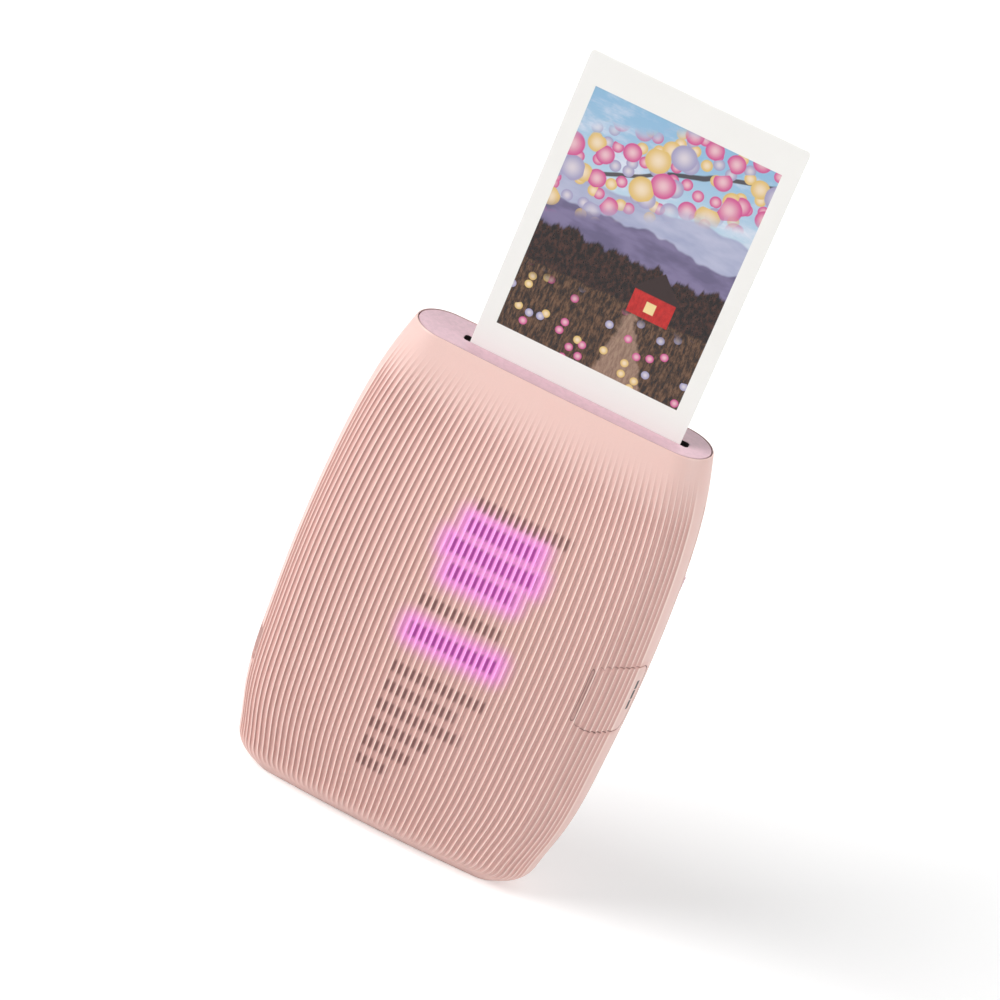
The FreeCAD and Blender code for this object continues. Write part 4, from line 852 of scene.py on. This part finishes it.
def print_material():
    """An instant print: white frame, dark back, and a made-up meadow under a blossoming branch."""
    nodes = Nodes("print_paper")
    x, y, z = nodes.apart()
    u, v = (nodes.math("DIVIDE", nodes.math("SUBTRACT", at, low * MM), (high - low) * MM)
            for at, low, high in ((x, *PICTURE[:2]), (z, *PICTURE[2:])))
    flat = nodes.add("ShaderNodeCombineXYZ")
    nodes.link(u, flat.inputs[0])
    nodes.link(nodes.times(v, 1.35), flat.inputs[1])
    spot = flat.outputs[0]

    # Sky, hills, trees and grass, from far to near
    cloud = nodes.noise(3.2, 5.0, 0.62, vector=spot, stretch=(0.7, 1.7, 1.0))
    sky = nodes.mix(nodes.ramp(v, 0.45, 1.0), (0.80, 0.86, 0.90), (0.56, 0.72, 0.84))
    sky = nodes.mix(nodes.ramp(cloud, 0.47, 0.68, 0.0, 0.8), sky, (0.90, 0.89, 0.93))

    def below(level, swing, scale, detail, edge=0.006):
        """1 below a wavy line across the picture."""
        line = nodes.noise(scale, detail, 0.6, vector=spot, stretch=(1.0, 0.02, 1.0))
        top = nodes.math("ADD", level - swing / 2, nodes.times(line, swing))
        return nodes.ramp(nodes.math("SUBTRACT", top, v), -edge, edge)

    leaf = nodes.noise(30.0, 6.0, 0.7, vector=spot, stretch=(1.5, 0.8, 1.0))
    blade = nodes.noise(26.0, 5.0, 0.7, vector=spot, stretch=(2.6, 0.7, 1.0))
    haze = nodes.noise(6.0, 3.0, 0.5, vector=spot, stretch=(0.8, 2.0, 1.0))
    far = nodes.mix(nodes.ramp(haze, 0.3, 0.7), (0.62, 0.64, 0.76), (0.72, 0.73, 0.82))
    hills = nodes.mix(nodes.ramp(haze, 0.35, 0.65), (0.40, 0.37, 0.50), (0.50, 0.46, 0.60))
    trees = nodes.mix(nodes.ramp(leaf, 0.40, 0.66), (0.08, 0.05, 0.06), (0.30, 0.18, 0.15))
    grass = nodes.mix(nodes.ramp(blade, 0.38, 0.68), (0.14, 0.09, 0.08), (0.46, 0.33, 0.24))
    path = nodes.mix(nodes.ramp(blade, 0.3, 0.7), (0.55, 0.43, 0.37), (0.68, 0.56, 0.48))
    art = nodes.mix(below(0.68, 0.20, 1.9, 2.0), sky, far)
    art = nodes.mix(below(0.57, 0.18, 2.8, 3.0), art, hills)
    art = nodes.mix(below(0.46, 0.20, 9.0, 5.0, 0.010), art, trees)
    art = nodes.mix(below(0.29, 0.07, 3.0, 2.0), art, grass)

    # A trail that narrows towards the trees
    bend = nodes.math("ADD", 0.60, nodes.times(v, -0.2))
    middle = nodes.math("ADD", bend, nodes.times(haze, 0.12))
    off = nodes.math("ABSOLUTE", nodes.math("SUBTRACT", u, middle))
    half = nodes.times(nodes.math("SUBTRACT", 0.30, v), 0.42)
    trail = nodes.times(nodes.ramp(nodes.math("SUBTRACT", off, half), -0.012, 0.012, 1.0, 0.0),
                        nodes.ramp(v, 0.26, 0.28, 1.0, 0.0))
    art = nodes.mix(nodes.times(trail, 0.85), art, path)

    # A red cabin
    wall = box_mask(nodes, u, v, 0.57, 0.79, 0.27, 0.37, 0.003)
    lean = nodes.math("ABSOLUTE", nodes.math("SUBTRACT", u, 0.68))
    eave = nodes.math("SUBTRACT", nodes.math("SUBTRACT", 0.465, nodes.times(lean, 0.75)), v)
    roof = nodes.times(nodes.ramp(eave, -0.003, 0.003),
                      nodes.ramp(v, 0.362, 0.368))
    pane = box_mask(nodes, u, v, 0.65, 0.70, 0.295, 0.335, 0.003)
    boards = nodes.mix(nodes.ramp(leaf, 0.3, 0.7), (0.66, 0.10, 0.10), (0.80, 0.16, 0.15))
    art = nodes.mix(wall, art, boards)
    art = nodes.mix(roof, art, (0.20, 0.13, 0.13))
    art = nodes.mix(pane, art, (0.93, 0.83, 0.60))

    # A branch across the sky, and blossoms round it and in the grass
    sway = nodes.times(nodes.noise(2.4, 2.0, 0.5, vector=spot), 0.12)
    middle = nodes.math("ADD", nodes.times(u, 0.30), nodes.math("ADD", 0.60, sway))
    branch = nodes.math("ABSOLUTE", nodes.math("SUBTRACT", v, middle))
    art = nodes.mix(nodes.ramp(branch, 0.006, 0.012, 0.9, 0.0), art, (0.22, 0.14, 0.12))

    def blossoms(art, scale, radius, share, near, seed):
        """Round blossoms of three colours, where near is 1."""
        dots = nodes.add("ShaderNodeTexVoronoi", voronoi_dimensions="2D")
        shifted = nodes.add("ShaderNodeVectorMath", operation="ADD")
        nodes.link(spot, shifted.inputs[0])
        shifted.inputs[1].default_value = (seed, seed * 0.7, 0.0)
        nodes.link(shifted.outputs[0], dots.inputs["Vector"])
        dots.inputs["Scale"].default_value = scale
        dots.inputs["Randomness"].default_value = 0.75
        away = dots.outputs["Distance"]
        red, _, blue = nodes.apart(dots.outputs["Color"])
        hue = nodes.mix(nodes.math("GREATER_THAN", red, 0.36), PINK_BLOSSOM, LILAC_BLOSSOM)
        hue = nodes.mix(nodes.math("GREATER_THAN", red, 0.68), hue, GOLD_BLOSSOM)
        light = nodes.ramp(away, 0.0, radius, 0.55, 0.0)
        hue = nodes.mix(light, hue, (0.97, 0.93, 0.90))
        keep = nodes.times(nodes.math("LESS_THAN", blue, share), near)
        disc = nodes.times(nodes.ramp(away, radius * 0.88, radius, 1.0, 0.0), keep)
        return nodes.mix(disc, art, hue)

    crown = nodes.ramp(branch, 0.12, 0.20, 1.0, 0.0)
    field = nodes.ramp(v, 0.20, 0.28, 1.0, 0.0)
    art = blossoms(art, 13.0, 0.42, 0.80, crown, 3.1)
    art = blossoms(art, 8.4, 0.43, 0.70, crown, 7.7)
    art = blossoms(art, 6.0, 0.42, 0.50, crown, 5.2)
    art = blossoms(art, 15.0, 0.34, 0.38, field, 1.3)

    # White frame on the front, dark panel on the back
    frame_white = nodes.mix(nodes.noise(60.0, 3.0, 0.5), (0.935, 0.928, 0.912),
                            (0.948, 0.942, 0.93))
    picture = box_mask(nodes, x, z, *metres(*PICTURE, 0.12))
    face = nodes.mix(picture, frame_white, art)
    panel = box_mask(nodes, x, z, *metres(*inset(PICTURE, -1.5), 0.12))
    rear = nodes.mix(panel, (0.93, 0.92, 0.90), nodes.mix(
        nodes.noise(700.0, 3.0, 0.6), (0.055, 0.052, 0.056), (0.085, 0.08, 0.085)))
    turned = nodes.math("GREATER_THAN", y, (SHEET[2] + SHEET[3]) / 2 * MM)
    nodes.set(Base_Color=nodes.mix(turned, face, rear),
              Roughness=nodes.ramp(picture, 0.0, 1.0, 0.42, 0.22),
              Coat_Weight=0.15, Coat_Roughness=0.15)
    nodes.bump(nodes.noise(500.0, 3.0, 0.5), 0.06, 0.00005)
    return nodes.material


def board_material():
    """Green solder mask over copper tracks, with tinned pads."""
    nodes = Nodes("circuit_board")
    x, y, z = nodes.apart()
    flat = nodes.add("ShaderNodeCombineXYZ")
    nodes.link(nodes.math("ADD", x, y), flat.inputs[0])
    nodes.link(z, flat.inputs[1])
    tracks = nodes.add("ShaderNodeTexVoronoi", voronoi_dimensions="2D", distance="CHEBYCHEV",
                       feature="F1")
    nodes.link(flat.outputs[0], tracks.inputs["Vector"])
    tracks.inputs["Scale"].default_value = 420.0
    line = nodes.ramp(nodes.math("PINGPONG", nodes.times(tracks.outputs["Distance"], 5.0),
                                 1.0), 0.35, 0.55)
    pads = nodes.add("ShaderNodeTexVoronoi", voronoi_dimensions="2D")
    nodes.link(flat.outputs[0], pads.inputs["Vector"])
    pads.inputs["Scale"].default_value = 560.0
    dots = nodes.ramp(pads.outputs["Distance"], 0.12, 0.16, 1.0, 0.0)
    base = nodes.mix(line, (0.03, 0.22, 0.13), (0.07, 0.36, 0.20))
    nodes.set(Base_Color=nodes.mix(dots, base, (0.78, 0.76, 0.70)),
              Metallic=nodes.times(dots, 0.9),
              Roughness=nodes.ramp(line, 0.0, 1.0, 0.32, 0.42), Coat_Weight=0.2)
    nodes.bump(line, 0.4, 0.00003)
    return nodes.material


def foil_material():
    """A lithium cell's silvery pouch with shallow creases and an amber tape at its top."""
    nodes = Nodes("cell_foil")
    z = nodes.apart()[2]
    crease = nodes.noise(160.0, 4.0, 0.7, stretch=(1.0, 1.0, 0.5))
    tape = nodes.ramp(z, *metres(BATTERY_TOP - 4.5, BATTERY_TOP - 4.3))
    nodes.set(Base_Color=nodes.mix(tape, nodes.mix(crease, (0.70, 0.71, 0.74), (0.80, 0.81, 0.83)),
                                   (0.75, 0.52, 0.14)),
              Metallic=nodes.math("SUBTRACT", 0.85, nodes.times(tape, 0.85)),
              Roughness=nodes.ramp(crease, 0.3, 0.7, 0.30, 0.44))
    nodes.bump(crease, 0.35, 0.0002)
    return nodes.material


def felt_material(name, base, scale, strength):
    """Felt or foam: a dark fibrous or cellular surface with a soft sheen."""
    nodes = Nodes(name)
    fibre = nodes.noise(scale, 5.0, 0.75)
    nodes.set(Base_Color=nodes.mix(fibre, tuple(c * 0.6 for c in base),
                                   tuple(c * 1.5 for c in base)),
              Roughness=0.95, Sheen_Weight=0.3, Sheen_Roughness=0.6)
    nodes.bump(fibre, strength, 0.0002)
    return nodes.material


def clear_material(name, base, rough, glow=0.0, through=0.6):
    """A moulded lens or diffuser, part clear and with fine flow lines."""
    nodes = Nodes(name)
    flow = nodes.noise(900.0, 2.0, 0.5, stretch=(1.0, 1.0, 0.2))
    nodes.set(Base_Color=nodes.mix(flow, tuple(c * 0.93 for c in base), base),
              Roughness=nodes.ramp(flow, 0.3, 0.7, rough, rough + 0.08),
              Transmission_Weight=through, IOR=1.49,
              Emission_Color=base, Emission_Strength=glow)
    return nodes.material


MATERIALS = {
    "shell": plain_material,
    "button": button_material,
    "deck": deck_material,
    "dark_plastic": lambda: plastic("black_moulding", (0.115, 0.105, 0.115), 0.55, 0.5).material,
    "film_plastic": lambda: plastic("film_moulding", (0.15, 0.15, 0.16), 0.42, 0.4).material,
    "print_stock": print_material,
    "film_sheet": lambda: plastic("film_stack", (0.86, 0.85, 0.82), 0.6, 0.2, scale=500.0).material,
    "steel": lambda: metal("turned_steel", (0.66, 0.66, 0.68), 0.26, (6.0, 1.0, 1.0)).material,
    "spring_steel": lambda: metal("spring_wire", (0.72, 0.72, 0.70), 0.22).material,
    "bracket": lambda: metal("zinc_plate", (0.62, 0.63, 0.65), 0.36, (1.0, 1.0, 5.0)).material,
    "nylon": lambda: plastic("nylon", (0.90, 0.89, 0.84), 0.45, 0.2).material,
    "bronze": lambda: metal("sintered_bronze", (0.70, 0.53, 0.30), 0.45).material,
    "board": board_material,
    "chip": lambda: plastic("chip_epoxy", (0.085, 0.085, 0.095), 0.5, 0.6).material,
    "cell": foil_material,
    "foam": lambda: felt_material("cell_foam", (0.15, 0.15, 0.16), 1500.0, 0.8),
    "felt": lambda: felt_material("black_felt", (0.05, 0.05, 0.052), 2600.0, 1.0),
    "lens": lambda: clear_material("lens_glass", (0.84, 0.90, 0.94), 0.05),
    "lamp": lambda: clear_material("lamp_lens", (0.95, 0.70, 0.92), 0.2, 0.6, 0.2),
    "diffuser": lambda: clear_material("milky_sheet", (0.95, 0.93, 0.95), 0.5, 0.15, 0.15),
    "silicone": lambda: plastic("silicone", (0.32, 0.32, 0.34), 0.7, 0.2).material,
}


# Pieces

def hinge_cutter(low, high, radius):
    """A rod along the hinge, to cut with."""
    return lathe("hinge_cutter", "z", (*HINGE, 0), rod_profile(low, high, radius, CUTTER_EDGE))


def make_front():
    """The ribbed front half with its openings and inner bosses."""
    body = half_shell("front_body", False, "housing")
    hole = prism_x("button_hole", BUTTON[:4], BUTTON[4] + BUTTON_GAP, BUTTON_STOP, 2 * HALF_WIDTH,
                   BUTTON_GAP)
    port = prism_x("port_hole", PORT[:4], PORT[4], -2 * HALF_WIDTH, PORT_INNER)
    carve(body, "DIFFERENCE", hole, port)
    posts = [lathe("boss", "y", (x, 0, z), rod_profile(start, end, radius))
             for x, z, start, end, radius in BOSSES]
    joined(body, *posts)
    body.data.materials.append(front_material())
    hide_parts("front_shell")


def make_back(plain):
    """The rear frame of the casing with the hinge's outer knuckles and the screw lugs."""
    body = half_shell("rear_body", True, "housing")
    opening = soft_box("opening", (DOOR_LEFT - DOOR_GAP, -2 * HALF_DEPTH, DOOR_LOW - DOOR_GAP),
                       (2 * HALF_WIDTH, 2 * HALF_DEPTH, DOOR_TOP + DOOR_GAP), 0)
    carve(body, "DIFFERENCE", opening, hinge_cutter(*CASE_RELIEF, RELIEF_RADIUS),
          hinge_cutter(*CASE_BORE, BORE_RADIUS))
    extra = [ring("knuckle", HINGE, *ends, KNUCKLE_RADIUS, KNUCKLE_BORE) for ends in CASE_KNUCKLES]
    for x in LUG_PLACES:
        lug = soft_box("lug", (x - LUG_HALF, LUG_Y[0], LUG_Z[0]),
                       (x + LUG_HALF, LUG_Y[1], LUG_Z[1]), 0.25)
        bit = lathe("lug_hole", "y", (x, 0, LUG_HOLE_Z),
                    rod_profile(0, 6, LUG_HOLE_RADIUS, CUTTER_EDGE))
        extra.append(carve(lug, "DIFFERENCE", bit))
    joined(body, *extra)
    body.data.materials.append(plain)
    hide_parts("rear_shell")


def make_door(plain):
    """The film door with its knuckle, spring bosses, spring seat and thumb slot."""
    body = half_shell("door_body", True, "film_door")
    zone = soft_box("door_zone", (DOOR_LEFT, DOOR_FRONT, DOOR_LOW),
                    (2 * HALF_WIDTH, 2 * HALF_DEPTH, DOOR_TOP), 0)
    carve(body, "INTERSECT", zone)
    slot = prism_x("thumb_slot", THUMB_SLOT[:4], THUMB_SLOT[4], THUMB_SLOT_INNER, 2 * HALF_WIDTH)
    reliefs = [hinge_cutter(*ends, RELIEF_RADIUS) for ends in DOOR_RELIEFS]
    carve(body, "DIFFERENCE", slot, *reliefs, hinge_cutter(*DOOR_BORE, BORE_RADIUS))
    extra = [ring("knuckle", HINGE, *DOOR_KNUCKLE, KNUCKLE_RADIUS, KNUCKLE_BORE)]
    extra += [lathe("spring_boss", "y", (x, 0, DOOR_BOSS_Z), rod_profile(*DOOR_BOSS))
              for x in DOOR_BOSS_PLACES]
    extra.append(soft_box("spring_seat", *SPRING_SEAT, 0.15))
    joined(body, *extra)
    body.data.materials.append(plain)
    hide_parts("film_door")


def make_button():
    """The power key: the casing's own surface inside the key's outline, and its plunger."""
    body = half_shell("button_body", False, "power_button")
    key = prism_x("key", (BUTTON[0] - BUTTON_LAP, *BUTTON[1:4]), BUTTON[4], BUTTON_INNER,
                  2 * HALF_WIDTH)
    carve(body, "INTERSECT", key)
    joined(body, soft_box("plunger", *PLUNGER, 0.3))
    body.data.materials.append(MADE["button"])
    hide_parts("power_button")


def make_print():
    """The instant print: a laminated card with the picture's window pressed slightly in."""
    x0, x1, y0, y1, z0, z1 = SHEET
    card_box = (x0, x1, z0, z1)
    outline = rounded_outline(*card_box, SHEET_CORNER, 8)
    inner = rounded_outline(*inset(card_box, SHEET_EDGE), SHEET_CORNER - SHEET_EDGE, 8)
    window = rounded_outline(*PICTURE, PICTURE_CORNER, 8)
    sunk = rounded_outline(*inset(PICTURE, PICTURE_EDGE), PICTURE_CORNER, 8)
    rows = ((sunk, y0 + PICTURE_SUNK), (window, y0), (inner, y0), (outline, y0 + SHEET_EDGE),
            (outline, y1 - SHEET_EDGE), (inner, y1))
    n = len(outline)
    verts = [(x, y, z) for points, y in rows for x, z in points]
    faces = [tuple(range(n))]
    for k in range(len(rows) - 1):
        faces += [(k * n + i, (k + 1) * n + i, (k + 1) * n + (i + 1) % n, k * n + (i + 1) % n)
                  for i in range(n)]
    faces.append(tuple(range((len(rows) - 1) * n, len(rows) * n))[::-1])
    card = mesh_object("instant_print", np.array(verts) * MM, faces, "print_sheet", 30)
    fix_normals(card)
    card.data.materials.append(MADE["print_stock"])
    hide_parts("print_sheet")


def fix_normals(item):
    """Turn all faces outwards and keep the card's edges crisp."""
    bm = bmesh.new()
    bm.from_mesh(item.data)
    bmesh.ops.recalc_face_normals(bm, faces=bm.faces)
    bm.to_mesh(item.data)
    bm.free()
    shade(item, 12)


def make_springs():
    """Round-wire springs between the two bodies they join."""
    for name, node, centre, radius, low, high, turns, below, above in SPRINGS:
        spring = coil(name, centre, radius, low, high, turns, SPRING_WIRE)
        spring.data.materials.append(MADE["spring_steel"])
        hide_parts(node)
        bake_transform(spring)


def make_grip():
    """Raised ribs on the latch's thumb piece."""
    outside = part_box("door_latch")[1].x / MM
    for number in range(GRIP_RIBS):
        z = GRIP_LOW + number * GRIP_PITCH
        rib = soft_box("latch_rib_%d" % (number + 1), (outside - 0.15, 5.2, z),
                       (outside + 0.3, 7.6, z + 0.5), 0.14, "door_latch")
        rib.data.materials.append(MADE["deck"])


def dress_nodes():
    """Give every solid its material, and ease the edges of the ones with square corners."""
    for name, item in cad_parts.items():
        for holder in item.material_slots:
            holder.material = MADE[holder.material.name.split(".")[0]]
        if name in REPLACED:
            continue
        weld = item.modifiers.new("weld", "WELD")
        weld.merge_threshold = WELD_REACH * MM
        bevel = item.modifiers.new("bevel", "BEVEL")
        bevel.width = EASED_EDGE * MM
        bevel.segments = 2
        bevel.limit_method = "ANGLE"
        bevel.angle_limit = math.radians(SHARP_ANGLE)
        item.modifiers.new("normals", "WEIGHTED_NORMAL")


# Studio

def make_camera():
    data = bpy.data.cameras.new("camera")
    data.lens = CAMERA_LENS
    data.sensor_width = CAMERA_SENSOR
    data.clip_end = CAMERA_FAR
    item = bpy.data.objects.new("camera", data)
    scene.collection.objects.link(item)
    right, up, ahead = Vector(CAMERA_RIGHT), Vector(CAMERA_UP), Vector(CAMERA_AHEAD)
    turn = Matrix((right, up, -ahead)).transposed().to_4x4()
    item.matrix_world = Matrix.Translation(Vector(CAMERA_PLACE) * MM) @ turn
    scene.camera = item


def make_sun(name, towards, spread, strength):
    data = bpy.data.lights.new(name, "SUN")
    data.angle = math.radians(spread)
    data.energy = strength
    item = bpy.data.objects.new(name, data)
    scene.collection.objects.link(item)
    item.rotation_euler = Vector(towards).to_track_quat("Z", "Y").to_euler()


def make_world():
    """White to the eye and in reflections, and a dimmer even fill for the light."""
    world = bpy.data.worlds.new("studio")
    world.use_nodes = True
    tree = world.node_tree
    tree.nodes.clear()
    out = tree.nodes.new("ShaderNodeOutputWorld")
    sky = tree.nodes.new("ShaderNodeBackground")
    path = tree.nodes.new("ShaderNodeLightPath")
    seen = path.outputs["Is Camera Ray"]
    for ray in ("Is Glossy Ray", "Is Transmission Ray"):
        add = tree.nodes.new("ShaderNodeMath")
        add.operation = "MAXIMUM"
        tree.links.new(seen, add.inputs[0])
        tree.links.new(path.outputs[ray], add.inputs[1])
        seen = add.outputs[0]
    level = tree.nodes.new("ShaderNodeMapRange")
    tree.links.new(seen, level.inputs[0])
    level.inputs[3].default_value = FILL
    level.inputs[4].default_value = 1.0
    tree.links.new(level.outputs[0], sky.inputs["Strength"])
    sky.inputs["Color"].default_value = (1, 1, 1, 1)
    tree.links.new(sky.outputs[0], out.inputs[0])
    scene.world = world


def make_floor():
    """A white floor, lifted a little to the eye."""
    turns = [2 * math.pi * k / FLOOR_STEPS for k in range(FLOOR_STEPS)]
    verts = [(FLOOR_RADIUS * math.cos(a), FLOOR_RADIUS * math.sin(a), 0) for a in turns]
    floor = mesh_object("studio_floor", np.array(verts), [tuple(range(FLOOR_STEPS))])
    nodes = Nodes("floor_paper")
    path = nodes.add("ShaderNodeLightPath")
    nodes.set(Base_Color=(0.93, 0.93, 0.93), Roughness=0.9, Specular_IOR_Level=0.1,
              Emission_Color=(1.0, 1.0, 1.0),
              Emission_Strength=nodes.times(path.outputs["Is Camera Ray"], FLOOR_LIFT))
    floor.data.materials.append(nodes.material)


make_camera()
for sun, settings in SUNS.items():
    make_sun(sun, *settings)
make_world()
make_floor()
MADE = {name: make() for name, make in MATERIALS.items()}
make_front()
make_back(MADE["shell"])
make_door(MADE["shell"])
make_button()
make_print()
make_springs()
make_grip()
dress_nodes()

scene.view_settings.view_transform = "Standard"
